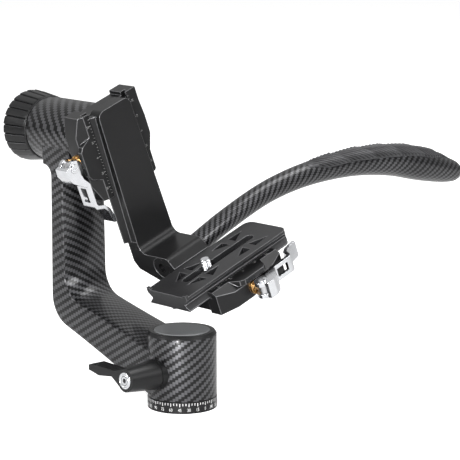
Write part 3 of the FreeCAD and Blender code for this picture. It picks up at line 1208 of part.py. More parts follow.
def make_lens_plate():
    """Plate with grooved sides, stepped slot, windows, near corner upstands and stop screws."""
    low = -z.plate_thickness
    flank = z.dovetail_half - z.neck_half
    side = [
        (z.dovetail_half, 0), (z.dovetail_half, -z.flange_edge), (z.neck_half, -z.flange_edge - flank),
        (z.neck_half, low + z.dovetail_land + flank), (z.dovetail_half, low + z.dovetail_land),
        (z.dovetail_half, low),
    ]
    points = side + [(-across, height) for across, height in reversed(side)]
    bar = prism("plate_bar", "xz", points, z.lens_plate_near, z.lens_plate_far)
    mask = block("plate_mask", (-z.dovetail_half, z.dovetail_half), (z.lens_plate_near, z.lens_plate_far),
                 (low, 0))
    mask = rounded("plate_mask_rounded", mask, z.lens_plate_corner,
                   lambda edge: stands_at(edge, y=z.lens_plate_far.value)
                   and near(edge.Length, z.plate_thickness.value))
    body = overlap("plate_outline", bar, mask)
    horns = [
        block("plate_horn_%d" % number, tuple(ends), (z.lens_plate_near, z.lens_plate_near + z.horn_length),
              (-z.flange_edge, z.horn_height))
        for number, ends in enumerate((
            (-z.dovetail_half, -z.dovetail_half + z.horn_width), (z.dovetail_half - z.horn_width, z.dovetail_half),
        ))
    ]
    body = join("plate_solid", body, *horns)
    tools = []
    for name, half, bottom, top in (
        ("slot", z.slot_half, -z.slot_ledge - 0.01, 1),
        ("slot_pocket", z.slot_pocket_half, low - 1, -z.slot_ledge),
    ):
        near_end = z.slot_near + z.slot_half
        far_end = z.slot_far - z.slot_half
        tools.append(block(name + "_run", (-half, half), (near_end, far_end), (bottom, top)))
        tools.append(pin(name + "_near", "z", half, bottom, top, (0, near_end)))
        tools.append(pin(name + "_far", "z", half, bottom, top, (0, far_end)))
    for number, window in enumerate(windows()):
        for side_name, sign in (("left", -1), ("right", 1)):
            corners = [(sign * across, along) for across, along in window]
            tools.append(prism("window_%s_%d" % (side_name, number), "xy", corners, low - 1, 1))
    stops = []
    for number, along in enumerate((z.stop_near, z.stop_far)):
        tools.append(pin("plate_stop_hole_%d" % number, "z", z.small_shank_radius, low, low + 5, (0, along)))
        head = pin("plate_stop_head_%d" % number, "z", z.stop_radius, low - z.stop_height, low, (0, along))
        shank = pin("plate_stop_shank_%d" % number, "z", z.small_shank_radius, low, low + 5, (0, along))
        stops.append(join("plate_stop_%d" % number, head, shank))
    sub_part("lens_plate", cut("lens_plate", body, *tools), LENS_PLATE)
    sub_part("plate_stop_screws", group("plate_stop_screws", *stops), LENS_PLATE)


def make_camera_screw():
    """Camera screw with its captive washer under the slot's ledge."""
    spot = (0, z.camera_screw_y)
    washer_top = -z.slot_ledge - 0.15
    washer_low = washer_top - z.screw_washer_thickness
    disc = pin("screw_washer_disc", "z", z.camera_head_radius, washer_low, washer_top, spot)
    hole = pin("screw_washer_hole", "z", z.camera_thread_radius + 0.1, washer_low, washer_top, spot)
    sub_part("screw_washer", cut("screw_washer", disc, hole), LENS_PLATE)
    head = pin("screw_head", "z", z.camera_head_radius, -z.camera_head_bottom, -z.camera_head_top, spot)
    shank = pin("screw_shank", "z", z.camera_shank_radius, -z.camera_head_top, z.camera_thread_start, spot)
    top = z.camera_thread_length
    thread = pin("screw_thread", "z", z.camera_thread_radius, z.camera_thread_start, top - 0.5, spot)
    tip = cone("screw_tip", "z", z.camera_thread_radius, z.camera_thread_radius - 0.5, top - 0.5, top, spot)
    drive = block("screw_drive", (-4, 4), (z.camera_screw_y - 0.6, z.camera_screw_y + 0.6),
                  (-z.camera_head_bottom, -z.camera_head_bottom + 1.4))
    solid = join("screw_solid", head, shank, thread, tip)
    sub_part("camera_screw", cut("camera_screw", solid, drive), LENS_PLATE)


make_base()
make_swing_arm()
make_pan_lock()
make_tilt_knob()
make_tilt_shaft()
make_upper_clamp()
make_bracket()
make_lower_clamp()
make_handle()
make_lens_plate()
make_camera_screw()
doc.recompute()

faults = [item.Name for item in doc.Objects if "Invalid" in item.State or "Error" in item.State]
for item in made:
    if item.Shape.isNull() or not item.Shape.isValid() or not item.Shape.Solids:
        faults.append(item.Label)
if faults:
    raise RuntimeError("these failed: " + ", ".join(faults))

os.makedirs("parts", exist_ok=True)
for item in made:
    item.Shape.exportStep("parts/%s.step" % item.Label)
    box = item.Shape.BoundBox
    print("%-20s %2d solid(s) %9.1f mm3  x %7.1f %7.1f  y %7.1f %7.1f  z %7.1f %7.1f" % (
        item.Label, len(item.Shape.Solids), item.Shape.Volume,
        box.XMin, box.XMax, box.YMin, box.YMax, box.ZMin, box.ZMax))
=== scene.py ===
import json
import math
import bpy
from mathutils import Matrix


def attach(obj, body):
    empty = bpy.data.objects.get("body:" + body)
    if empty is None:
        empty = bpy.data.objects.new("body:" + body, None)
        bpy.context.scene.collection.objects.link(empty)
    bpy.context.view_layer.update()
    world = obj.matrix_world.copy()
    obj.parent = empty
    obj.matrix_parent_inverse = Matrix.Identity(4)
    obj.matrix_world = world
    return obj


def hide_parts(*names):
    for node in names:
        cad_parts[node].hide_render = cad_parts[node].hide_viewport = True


bl_info = {
    "name": "Gimbal Tripod Head",
    "version": (1, 0, 0),
    "blender": (4, 5, 0),
    "location": "View3D > Sidebar > Gimbal Head",
    "description": "Dresses the gimbal head's CAD frame with detailed surfaces and finishes",
    "category": "Object",
}

import bmesh
import bpy
import numpy as np
from mathutils import Vector

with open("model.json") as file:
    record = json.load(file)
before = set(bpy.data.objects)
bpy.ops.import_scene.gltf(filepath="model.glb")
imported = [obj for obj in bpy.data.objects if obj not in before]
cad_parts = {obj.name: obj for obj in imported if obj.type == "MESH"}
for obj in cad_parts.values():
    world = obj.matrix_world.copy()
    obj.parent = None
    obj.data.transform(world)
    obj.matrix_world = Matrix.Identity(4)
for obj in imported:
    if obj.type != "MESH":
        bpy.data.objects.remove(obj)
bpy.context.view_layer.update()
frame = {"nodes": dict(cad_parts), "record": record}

MM = 0.001
AXIS = 0.16475
TILT = math.radians(21.2)
UP = np.array([0.0, -math.sin(TILT), math.cos(TILT)])
AHEAD = np.array([0.0, math.cos(TILT), math.sin(TILT)])
SIDE = np.array([1.0, 0.0, 0.0])

# Places and lengths from here on are in millimetres.
UPPER_CLAMP = np.array([-55.6, 0.0, -4.0])
LOWER_CLAMP = np.array([-4.5, 6.5, -82.2])
CAMERA_SCREW = np.array([-4.5, -5.0, -82.2])
LOCK_HEIGHT = 24.0
TUBE_RADIUS, TUBE_BORE, TUBE_ENDS = 20.8, 18.0, (-132.6, -80.0)
HOUSING_RADIUS, HOUSING_BORE, HOUSING_ENDS = 22.0, 19.0, (7.5, 47.0)
LIMB_OUTER, LIMB_INNER, LIMB_HALF = -112.0, -95.5, 17.6
OUTER_BEND = (42.4, 20.0, 18.4)  # height of the corner, radius, slope of the diagonal in degrees
INNER_BEND = (61.1, 18.0, 13.2)
ARM_END = -2.0
FLARE = 8.0
JOIN_HEIGHT, JOIN_RADIUS, JOIN_HALF = 150.0, 19.6, 19.4
CROWN, OUTER_CORNER, CREASE = 3.0, 3.0, 0.7
ARM_TOW, HANDLE_TOW = 0.0019, 0.00135  # metres
WEAVE_STRETCH, WEAVE_SIDE = 1.42, 0.8
PAD_START, PAD_END, PAD_DEPTH = 122.0, 250.0, 1.2
KNOB_FLATS, KNOB_GROOVE, KNOB_FACES = 24, 0.11, 24
RING_RADIUS = 22.14
FOCAL_PIXELS, PHOTO_PIXELS = 2231.4, 460.0


def from_cradle(points):
    """Points in millimetres along the tilt axis, the lens's line and the bracket's upright, in the row frame."""
    points = np.asarray(points, dtype=float) * MM
    return (points[..., 0:1] * SIDE + points[..., 1:2] * AHEAD + points[..., 2:3] * UP
            + np.array([0.0, 0.0, AXIS]))


def from_upper(points):
    """Points in millimetres in the upper clamp: across towards its lever, along the lever, out of the face."""
    points = np.asarray(points, dtype=float)
    return from_cradle(UPPER_CLAMP + np.stack([points[..., 2], -points[..., 0], -points[..., 1]], axis=-1))


def from_lower(points):
    """Points in millimetres in the lower clamp: across towards its lever, along the lever, out of the face."""
    return from_cradle(LOWER_CLAMP + np.asarray(points, dtype=float))


# Meshes

def put(name, points, faces, body, finish, uv=None, sharp=35.0, closed=True):
    """Makes one piece from an array of points and a list of faces, with a coordinate pair for each face corner."""
    mesh = bpy.data.meshes.new(name)
    mesh.from_pydata(np.asarray(points, dtype=float).reshape(-1, 3).tolist(), [],
                     [tuple(int(i) for i in face) for face in faces])
    if uv is not None:
        layer = mesh.uv_layers.new(name="UVMap")
        layer.data.foreach_set("uv", np.asarray(uv, dtype=np.float32).ravel())
    work = bmesh.new()
    work.from_mesh(mesh)
    bmesh.ops.remove_doubles(work, verts=work.verts, dist=1e-7)
    if closed:
        bmesh.ops.recalc_face_normals(work, faces=work.faces)
    work.to_mesh(mesh)
    work.free()
    mesh.shade_smooth()
    mesh.set_sharp_from_angle(angle=math.radians(sharp))
    for material in finish if isinstance(finish, (list, tuple)) else (finish,):
        mesh.materials.append(material)
    piece = bpy.data.objects.new(name, mesh)
    bpy.context.scene.collection.objects.link(piece)
    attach(piece, body)
    return piece


def grid(rows, columns, round_rows=False, round_columns=False):
    """The four corners of each face of a grid of rows by columns points, as an array."""
    r = np.arange(rows if round_rows else rows - 1)
    c = np.arange(columns if round_columns else columns - 1)
    r, c = np.meshgrid(r, c, indexing="ij")
    r2, c2 = (r + 1) % rows, (c + 1) % columns
    return np.stack([r * columns + c, r * columns + c2, r2 * columns + c2, r2 * columns + c], axis=-1).reshape(-1, 4)


def grid_uv(u, v):
    """The coordinate pair of each face corner of a grid. u and v have one more row or column where it goes round."""
    rows, columns = u.shape
    r, c = np.meshgrid(np.arange(rows - 1), np.arange(columns - 1), indexing="ij")
    corners = [(r, c), (r, c + 1), (r + 1, c + 1), (r + 1, c)]
    pairs = np.stack([np.stack([u[a, b], v[a, b]], axis=-1) for a, b in corners], axis=2)
    return pairs.reshape(-1, 2)


def turned(name, profile, origin, axis, body, finish, steps=144, sharp=35.0, wave=None, stretch=1.0):
    """A closed profile of (distance along the axis, radius) in millimetres, carried once round the axis.

    point = origin + axis * distance + radius * (across * cos(angle) + other * sin(angle)).
    wave, if given, changes the radii from the arrays of distance, radius and angle. stretch multiplies the
    second coordinate, which runs along the profile.
    """
    axis = np.asarray(axis, dtype=float) / np.linalg.norm(axis)
    across = np.cross(axis, [0.31, 0.22, 0.93] if abs(axis[2]) < 0.9 else [1.0, 0.0, 0.0])
    across /= np.linalg.norm(across)
    other = np.cross(axis, across)
    angle = np.linspace(0, 2 * math.pi, steps, endpoint=False)
    profile = np.asarray(profile, dtype=float) * MM
    along, turn = np.meshgrid(profile[:, 0], angle, indexing="ij")
    radius = np.repeat(profile[:, 1:2], steps, axis=1)
    if wave is not None:
        radius = wave(along, radius, turn)
    points = (np.asarray(origin, dtype=float) + along[..., None] * axis
              + radius[..., None] * (np.cos(turn)[..., None] * across + np.sin(turn)[..., None] * other))
    faces = grid(len(profile), steps, round_rows=True, round_columns=True)
    lengths = np.concatenate([[0], np.cumsum(np.linalg.norm(np.diff(
        np.vstack([profile, profile[:1]]), axis=0), axis=1))])
    wide = np.linspace(0, 2 * math.pi, steps + 1) * profile[:, 1].max()
    v, u = np.meshgrid(lengths * stretch, wide, indexing="ij")
    return put(name, points, faces, body, finish, uv=grid_uv(u, v), sharp=sharp)


def rounded(profile, radius=0.3, steps=3):
    """A closed profile with each corner replaced by a short arc: points at equal angles on a quadratic curve."""
    profile = [np.asarray(point, dtype=float) for point in profile]
    result = []
    for index, point in enumerate(profile):
        before, after = profile[index - 1], profile[(index + 1) % len(profile)]
        a, b = before - point, after - point
        la, lb = np.linalg.norm(a), np.linalg.norm(b)
        reach = min(radius, la * 0.45, lb * 0.45)
        if la < 1e-9 or lb < 1e-9 or (abs(point[1]) < 1e-9):
            result.append(point)
            continue
        start, end = point + a / la * reach, point + b / lb * reach
        for t in np.linspace(0, 1, steps + 1):
            result.append((1 - t) ** 2 * start + 2 * t * (1 - t) * point + t * t * end)
    return result


def dressed(node, finish, width, edge=None, segments=2):
    """A copy of a CAD node's mesh, merged, with its flat faces whole again and its sharp edges bevelled. Where edge
    is given, the bevel faces take it: a lighter finish that paints a highlight along the edges.
    """
    mesh = frame["nodes"][node].data.copy()
    mesh.name = node + "_dressed"
    mesh.materials.clear()
    for name in ("custom_normal", "sharp_face", "sharp_edge"):
        if name in mesh.attributes:
            mesh.attributes.remove(mesh.attributes[name])
    work = bmesh.new()
    work.from_mesh(mesh)
    bmesh.ops.remove_doubles(work, verts=work.verts, dist=2e-6)
    bmesh.ops.dissolve_limit(work, angle_limit=math.radians(0.6), verts=work.verts, edges=work.edges)
    for face in work.faces:
        face.material_index = 0
    work.to_mesh(mesh)
    work.free()
    mesh.shade_smooth()
    mesh.set_sharp_from_angle(angle=math.radians(30.0))
    mesh.materials.append(finish)
    if edge is not None:
        mesh.materials.append(edge)
    piece = bpy.data.objects.new(node + "_dressed", mesh)
    bpy.context.scene.collection.objects.link(piece)
    bevel = piece.modifiers.new("edge", "BEVEL")
    bevel.width = width * MM
    bevel.segments = segments
    bevel.limit_method = "ANGLE"
    bevel.angle_limit = math.radians(28.0)
    bevel.use_clamp_overlap = edge is None
    bevel.harden_normals = True
    # The bevel faces take the lighter edge finish: a painted highlight.
    if edge is not None:
        bevel.material = 1
    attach(piece, BODY_OF[node])
    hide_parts(node)
    return piece


BODY_OF = {node: body for body, nodes in frame["record"]["behaviour"]["bodies"].items() for node in nodes}


# Finishes

class Tree:
    """A node tree with short calls to add and join its nodes."""

    def __init__(self, tree):
        self.tree = tree

    def fill(self, node, inputs):
        for key, value in inputs.items():
            if isinstance(value, bpy.types.NodeSocket):
                self.tree.links.new(value, node.inputs[key])
            else:
                node.inputs[key].default_value = value
        return node

    def add(self, kind, inputs=None, **settings):
        node = self.tree.nodes.new(kind)
        for key, value in settings.items():
            setattr(node, key, value)
        return self.fill(node, inputs or {})

    def math(self, operation, *values):
        return self.add("ShaderNodeMath", dict(enumerate(values)), operation=operation).outputs[0]

    def noise(self, vector, scale, detail=2.0, roughness=0.5):
        node = self.add("ShaderNodeTexNoise", {"Vector": vector, "Scale": scale, "Detail": detail,
                                                "Roughness": roughness})
        return node.outputs["Fac"]

    def spread(self, value, low, high, to_low, to_high):
        return self.add("ShaderNodeMapRange", {"Value": value, "From Min": low, "From Max": high,
                                               "To Min": to_low, "To Max": to_high}).outputs[0]

    def mix(self, share, first, second):
        return self.add("ShaderNodeMix", {0: share, 6: first, 7: second}, data_type="RGBA").outputs[2]


def shade(color, alpha=1.0):
    """Three numbers as a colour with alpha."""
    return (color[0], color[1], color[2], alpha)


def new_group(name, inputs, outputs):
    """An empty shader node group with its sockets, and its tree helper."""
    tree = bpy.data.node_groups.new(name, "ShaderNodeTree")
    for label, kind, default in inputs:
        socket = tree.interface.new_socket(label, in_out="INPUT", socket_type="NodeSocket" + kind)
        if default is not None:
            socket.default_value = default
    for label, kind in outputs:
        tree.interface.new_socket(label, in_out="OUTPUT", socket_type="NodeSocket" + kind)
    return tree, Tree(tree), tree.nodes.new("NodeGroupInput"), tree.nodes.new("NodeGroupOutput")


def twill_group():
    """Two by two twill: tow cells numbered along u and v; a cell shows warp where (column - row) mod 4 is under 2.

    The pattern comes from coordinates in metres. Height is the crown of each tow, with fine grain along
    whichever tow shows. The warp colour, lighter than the weft, is a painted sheen, and each tow is
    painted darker towards its edges: painted shade between the tows.
    """
    tree, t, given, out = new_group(
        "Twill", [("Vector", "Vector", None), ("Tow", "Float", 0.00135), ("Warp", "Color", shade((0.1, 0.1, 0.1))),
                  ("Weft", "Color", shade((0.01, 0.01, 0.01)))],
        [("Color", "Color"), ("Height", "Float"), ("Roughness", "Float")])
    split = t.add("ShaderNodeSeparateXYZ", {"Vector": given.outputs["Vector"]})
    u = t.math("DIVIDE", split.outputs[0], given.outputs["Tow"])
    v = t.math("DIVIDE", split.outputs[1], given.outputs["Tow"])
    column, row = t.math("FLOOR", u), t.math("FLOOR", v)
    number = t.math("FLOORED_MODULO", t.math("SUBTRACT", column, row), 4.0)
    warp = t.math("LESS_THAN", number, 1.5)
    in_u = t.math("SUBTRACT", t.math("FRACT", u), 0.5)
    in_v = t.math("SUBTRACT", t.math("FRACT", v), 0.5)
    crown_u = t.math("SUBTRACT", 1.0, t.math("MULTIPLY", t.math("MULTIPLY", in_u, in_u), 4.0))
    crown_v = t.math("SUBTRACT", 1.0, t.math("MULTIPLY", t.math("MULTIPLY", in_v, in_v), 4.0))
    height = t.add("ShaderNodeMix", {0: warp, 2: crown_v, 3: crown_u}).outputs[0]
    along = t.add("ShaderNodeCombineXYZ", {0: t.math("MULTIPLY", u, 9.0), 1: t.math("MULTIPLY", v, 0.7), 2: 0.0})
    cross = t.add("ShaderNodeCombineXYZ", {0: t.math("MULTIPLY", u, 0.7), 1: t.math("MULTIPLY", v, 9.0), 2: 3.0})
    fibre_warp = t.noise(along.outputs[0], 1.0, 3.0)
    fibre_weft = t.noise(cross.outputs[0], 1.0, 3.0)
    fibre = t.add("ShaderNodeMix", {0: warp, 2: fibre_weft, 3: fibre_warp}).outputs[0]
    drift = t.noise(given.outputs["Vector"], 38.0, 1.0)
    # Warp shows the lighter colour: a painted sheen.
    color = t.mix(warp, given.outputs["Weft"], given.outputs["Warp"])
    level = t.math("MULTIPLY", t.spread(fibre, 0.3, 0.7, 0.7, 1.3), t.spread(drift, 0.3, 0.7, 0.85, 1.15))
    # Each tow is painted darker towards its edges: painted shade between the tows.
    level = t.math("MULTIPLY", level, t.spread(height, 0.0, 0.5, 0.45, 1.0))
    lit = t.add("ShaderNodeVectorMath", {0: color, "Scale": level}, operation="SCALE")
    t.fill(out, {"Color": lit.outputs[0], "Height": t.math("ADD", height, t.math("MULTIPLY", fibre, 0.25)),
                 "Roughness": t.spread(fibre, 0.3, 0.7, 0.34, 0.5)})
    return tree


def blasted_group():
    """Bead-blasted anodised metal: fine even grain, with faint drifts of tone and gloss."""
    tree, t, given, out = new_group(
        "Blasted metal", [("Vector", "Vector", None), ("Color", "Color", shade((0.02, 0.02, 0.02))),
                          ("Roughness", "Float", 0.4), ("Grain", "Float", 5200.0)],
        [("Color", "Color"), ("Roughness", "Float"), ("Height", "Float")])
    fine = t.noise(given.outputs["Vector"], given.outputs["Grain"], 2.0)
    drift = t.noise(given.outputs["Vector"], 55.0, 3.0)
    level = t.math("MULTIPLY", t.spread(fine, 0.3, 0.7, 0.86, 1.14), t.spread(drift, 0.3, 0.7, 0.92, 1.08))
    lit = t.add("ShaderNodeVectorMath", {0: given.outputs["Color"], "Scale": level}, operation="SCALE")
    rough = t.math("ADD", given.outputs["Roughness"], t.spread(drift, 0.3, 0.7, -0.04, 0.04))
    t.fill(out, {"Color": lit.outputs[0], "Roughness": rough, "Height": fine})
    return tree


def handled_group():
    """Polished or turned metal: fine scratches drawn out along one axis, and soft smears."""
    tree, t, given, out = new_group(
        "Handled metal", [("Vector", "Vector", None), ("Color", "Color", shade((0.6, 0.6, 0.6))),
                          ("Roughness", "Float", 0.2), ("Streak", "Vector", (200.0, 4000.0, 4000.0))],
        [("Color", "Color"), ("Roughness", "Float"), ("Height", "Float")])
    drawn = t.add("ShaderNodeVectorMath", {0: given.outputs["Vector"], 1: given.outputs["Streak"]},
                  operation="MULTIPLY").outputs[0]
    streak = t.noise(drawn, 1.0, 3.0)
    smear = t.noise(given.outputs["Vector"], 260.0, 2.0)
    level = t.math("MULTIPLY", t.spread(streak, 0.3, 0.7, 0.94, 1.06), t.spread(smear, 0.3, 0.7, 0.93, 1.04))
    lit = t.add("ShaderNodeVectorMath", {0: given.outputs["Color"], "Scale": level}, operation="SCALE")
    rough = t.math("ADD", given.outputs["Roughness"],
                   t.math("ADD", t.spread(streak, 0.3, 0.7, -0.03, 0.05), t.spread(smear, 0.3, 0.7, -0.04, 0.05)))
    t.fill(out, {"Color": lit.outputs[0], "Roughness": rough, "Height": streak})
    return tree


GROUPS = {}
FINISHES = {}


def group(name):
    """One of the shared node groups, built when it is first asked for."""
    if name not in GROUPS:
        GROUPS[name] = {"twill": twill_group, "blasted": blasted_group, "handled": handled_group}[name]()
    return GROUPS[name]


def start_material(name):
    """A new material with its Principled shader, and its tree helper."""
    material = bpy.data.materials.new(name)
    material.use_nodes = True
    t = Tree(material.node_tree)
    shader = next(node for node in t.tree.nodes if node.type == "BSDF_PRINCIPLED")
    return material, t, shader


def carbon(name, tow, warp, weft):
    """Clear-coated twill, laid by the piece's own coordinates, with its warp tows painted lighter as sheen."""
    material, t, shader = start_material(name)
    weave = t.add("ShaderNodeGroup", {
        "Vector": t.add("ShaderNodeTexCoord").outputs["UV"], "Tow": tow, "Warp": shade(warp), "Weft": shade(weft),
    }, node_tree=group("twill"))
    bump = t.add("ShaderNodeBump", {"Height": weave.outputs["Height"], "Strength": 0.35, "Distance": 0.00006})
    t.fill(shader, {"Base Color": weave.outputs["Color"], "Roughness": weave.outputs["Roughness"],
                    "Normal": bump.outputs[0], "Metallic": 0.75, "Specular IOR Level": 0.3,
                    "Coat Weight": 0.4, "Coat Roughness": 0.12})
    return material


def metal(name, kind, color, roughness, metallic=1.0, specular=0.5, bump=0.1, **extra):
    """A metal or other hard finish from one of the shared groups."""
    material, t, shader = start_material(name)
    surface = t.add("ShaderNodeGroup", {
        "Vector": t.add("ShaderNodeTexCoord").outputs["Object"], "Color": shade(color), "Roughness": roughness,
        **extra}, node_tree=group(kind))
    relief = t.add("ShaderNodeBump", {"Height": surface.outputs["Height"], "Strength": bump, "Distance": 0.00002})
    t.fill(shader, {"Base Color": surface.outputs["Color"], "Roughness": surface.outputs["Roughness"],
                    "Normal": relief.outputs[0], "Metallic": metallic, "Specular IOR Level": specular})
    return material


def ribbed(name, crest, groove):
    """Grip pad: a painted light share that follows the ribs' height, kept in the coordinates' first number, goes from
    the groove colour, a painted shade, to the crest colour, a painted highlight.
    """
    material, t, shader = start_material(name)
    place = t.add("ShaderNodeTexCoord")
    height = t.add("ShaderNodeSeparateXYZ", {"Vector": place.outputs["UV"]}).outputs[0]
    grain = t.noise(place.outputs["Object"], 3000.0)
    level = t.math("MULTIPLY", t.spread(height, 0.1, 0.95, 0.0, 1.0), t.spread(grain, 0.3, 0.7, 0.8, 1.1))
    # The first coordinate is a painted light share: crest colour as painted highlight, groove colour as painted
    # shade.
    t.fill(shader, {"Base Color": t.mix(level, shade(groove), shade(crest)),
                    "Roughness": t.spread(grain, 0.3, 0.7, 0.3, 0.42), "Metallic": 0.5,
                    "Specular IOR Level": 0.3})
    return material


def finishes():
    """Every finish of the head, by name, built when they are first asked for."""
    if FINISHES:
        return FINISHES
    s = bpy.context.scene.gimbal_finish
    FINISHES.update({
        "arm": carbon("Twill carbon", ARM_TOW, s.tow_painted_sheen, s.tow_dark),
        "handle": carbon("Twill carbon handle", HANDLE_TOW, s.tow_painted_sheen, s.tow_dark),
        "grip": ribbed("Carved grip", s.grip, s.grip_painted_shade),
        "black": metal("Black anodised", "blasted", s.black, 0.32, metallic=0.35, specular=0.35, bump=0.1),
        "black_soft": metal("Black anodised matt", "blasted", s.black, 0.52, metallic=0.2, specular=0.25,
                            bump=0.2, Grain=4200.0),
        # The edge finish is lighter than the black: a painted highlight on the bevels and beside the knob's grooves.
        "edge": metal("Painted edge highlight of black metal", "blasted", s.edge, 0.3, metallic=0.6, bump=0.05),
        "plate": metal("Lens plate", "blasted", s.plate, 0.36, metallic=0.35, specular=0.45, bump=0.18),
        "cap": metal("Grey cap", "blasted", s.cap, 0.42, metallic=0.5, specular=0.4, bump=0.12),
        "chrome": metal("Polished lever", "handled", s.chrome, 0.12, bump=0.12),
        "steel": metal("Turned steel", "handled", s.steel, 0.28, bump=0.1, Streak=(3000.0, 3000.0, 300.0)),
        "bright": metal("Bright screw", "handled", s.chrome, 0.2, bump=0.1, Streak=(3000.0, 3000.0, 300.0)),
        "brass": metal("Brass washer", "handled", s.brass, 0.26, bump=0.1, Streak=(3000.0, 300.0, 300.0)),
        "aluminium": metal("Machined aluminium", "handled", s.aluminium, 0.32, bump=0.1),
        "friction": metal("Friction disc", "blasted", (0.06, 0.045, 0.035), 0.8, metallic=0.0, bump=0.4,
                          Grain=1800.0),
        "faint": metal("Faint filling", "blasted", (0.22, 0.22, 0.22), 0.5, metallic=0.0, bump=0.1, Grain=9000.0),
        "ink": metal("White filling", "blasted", (0.5, 0.5, 0.5), 0.5, metallic=0.0, bump=0.1, Grain=9000.0),
    })
    return FINISHES


# The carbon arm

def arc(corner, radius, slope, share):
    """Points on the bend between an upright line and one that falls by slope, for shares from 0 to 1 along it.

    The bend's centre lies radius to the right of the corner and the tangent's length above it.
    """
    turn = math.radians(90.0 - slope)
    centre = np.array([corner[0] + radius, corner[1] + radius * math.tan(turn / 2)])
    angle = math.pi + share * turn
    return centre + radius * np.stack([np.cos(angle), np.sin(angle)], axis=-1)


def arm_line(limb, way, corner, radius, slope):
    """One line of the arm from the tube to the housing: flare, upright, bend, diagonal. way is -1 for the outside."""
    lean = np.linspace(math.pi / 2, 0, 14)
    flare = np.stack([limb + way * FLARE * (1 - np.cos(lean)),
                      AXIS / MM - TUBE_RADIUS - FLARE + FLARE * np.sin(lean)], axis=-1)
    bend = arc((limb, corner), radius, slope, np.linspace(0, 1, 40))
    upright = flare[-1] + (bend[0] - flare[-1]) * np.linspace(0, 1, 12)[1:-1, None]
    end = np.array([ARM_END, bend[-1][1] - (ARM_END - bend[-1][0]) * math.tan(math.radians(slope))])
    diagonal = bend[-1] + (end - bend[-1]) * np.linspace(0, 1, 24)[1:, None]
    return np.vstack([[[limb + way * FLARE, JOIN_HEIGHT]], flare, upright, bend, diagonal])


def arm_stations():
    """Outer line, inner line and half width of the arm, which widens towards the housing and the tube."""
    outer = arm_line(LIMB_OUTER, -1, *OUTER_BEND)
    inner = arm_line(LIMB_INNER, 1, *INNER_BEND)
    run = np.linspace(0, 1, 24)[1:]
    half = np.full(len(outer), LIMB_HALF)
    half[-len(run):] += 4.0 * run ** 2
    top = np.clip((outer[:, 1] - 141.0) / 10.0, 0, 1)
    half += 1.9 * top * top * (3 - 2 * top)
    return outer, inner, half


def arm_section():
    """The arm's section, once round: for each point its share of the depth, its share of the half width,
    the crown it takes, and its corner offset across and along.
    """
    rows = []
    for angle in np.linspace(math.pi / 2, 0, 6):
        rows.append((0.0, -1.0, 0.0, OUTER_CORNER * (1 - math.sin(angle)), OUTER_CORNER * (1 - math.cos(angle))))
    rows.append((0.5, -1.0, 0.0, 0.0, 0.0))
    for angle in np.linspace(0, math.pi / 2, 4):
        rows.append((1.0, -1.0, 0.0, -CREASE * (1 - math.sin(angle)), CREASE * (1 - math.cos(angle))))
    edge = [(depth, -side, crown, inset, tuck) for depth, side, crown, inset, tuck in reversed(rows)]
    for across in np.linspace(-0.9, 0.9, 19):
        rows.append((1.0, across, 1.0 - across * across, 0.0, 0.0))
    return np.array(rows + edge)


def make_arm(material):
    """Limb and diagonal, swept through the stations; then the tube and the housing, turned on their axes."""
    outer, inner, half = arm_stations()
    depth_way = inner - outer
    depth = np.linalg.norm(depth_way, axis=1)
    depth_way = depth_way / depth[:, None]
    share, side, swell, inset, tuck = arm_section().T
    # run: distance from the outer line. The crease stands back by the crown, which only the middle reaches.
    run = share * (depth[:, None] - CROWN) + swell * CROWN + inset
    width = side * half[:, None]
    width = np.where(tuck > 0, np.sign(side) * (half[:, None] - tuck), width)
    x = outer[:, 0:1] + depth_way[:, 0:1] * run
    height = outer[:, 1:2] + depth_way[:, 1:2] * run
    # The top row lies inside the tube's wall: height = axis - sqrt(radius^2 - width^2).
    height[0] = AXIS / MM - np.sqrt(JOIN_RADIUS ** 2 - np.minimum(np.abs(width[0]), JOIN_HALF) ** 2)
    rows, columns = x.shape
    corners = grid(rows, columns, round_columns=True)
    faces = corners.tolist()
    faces.append(list(range(columns)))
    faces.append([(rows - 1) * columns + i for i in reversed(range(columns))])
    # Each face takes one mapping throughout: the side's if all its corners lie on the side. The tows across
    # lie closer than those that run up, so the bands rise at about 35 degrees.
    middle = (outer + inner) / 2
    path = np.concatenate([[0], np.cumsum(np.linalg.norm(np.diff(middle, axis=0), axis=1))])
    path = np.repeat(JOIN_HEIGHT - path[:, None], columns, axis=1)
    flat_side = np.abs(width) > half[:, None] - CREASE - 0.02
    on_side = flat_side.ravel()[corners].all(axis=1)[:, None]
    side_u = WEAVE_SIDE * np.where(width < 0, 1.0, -1.0) * (x - LIMB_INNER)
    u = np.where(on_side, side_u.ravel()[corners], -width.ravel()[corners])
    v = np.where(on_side, height.ravel()[corners], path.ravel()[corners])
    uv = np.stack([u, v * WEAVE_STRETCH], axis=-1).reshape(-1, 2) * MM
    limb = put("arm_limb", np.stack([x, width, height], axis=-1) * MM, faces, "swing_arm", material,
               uv=np.vstack([uv, np.zeros((2 * columns, 2))]), sharp=50)
    low, top = HOUSING_ENDS
    turned("arm_housing", rounded([(low, HOUSING_BORE), (low, HOUSING_RADIUS), (top, HOUSING_RADIUS),
                                   (top, HOUSING_BORE)], 0.25),
           (0, 0, 0), (0, 0, 1), "swing_arm", material, steps=192, stretch=WEAVE_STRETCH)
    left, right = TUBE_ENDS
    turned("arm_tube", rounded([(left, TUBE_BORE), (left, TUBE_RADIUS), (right, TUBE_RADIUS),
                                (right, TUBE_BORE)], 0.7),
           (0, 0, AXIS), (1, 0, 0), "swing_arm", material, steps=192)
    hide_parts("arm_shell")


# The handle

HANDLE = np.array([
    (15.6, -83.5, 7.2), (45.0, -80.8, 7.3), (80.0, -80.0, 7.4), (110.0, -83.4, 7.8), (140.0, -90.6, 8.5),
    (170.0, -100.6, 9.7), (200.0, -114.6, 11.0), (225.0, -130.4, 11.6), (244.0, -143.9, 9.8),
    (254.5, -151.0, 7.9), (258.6, -153.7, 6.0), (260.0, -154.6, 4.8),
])


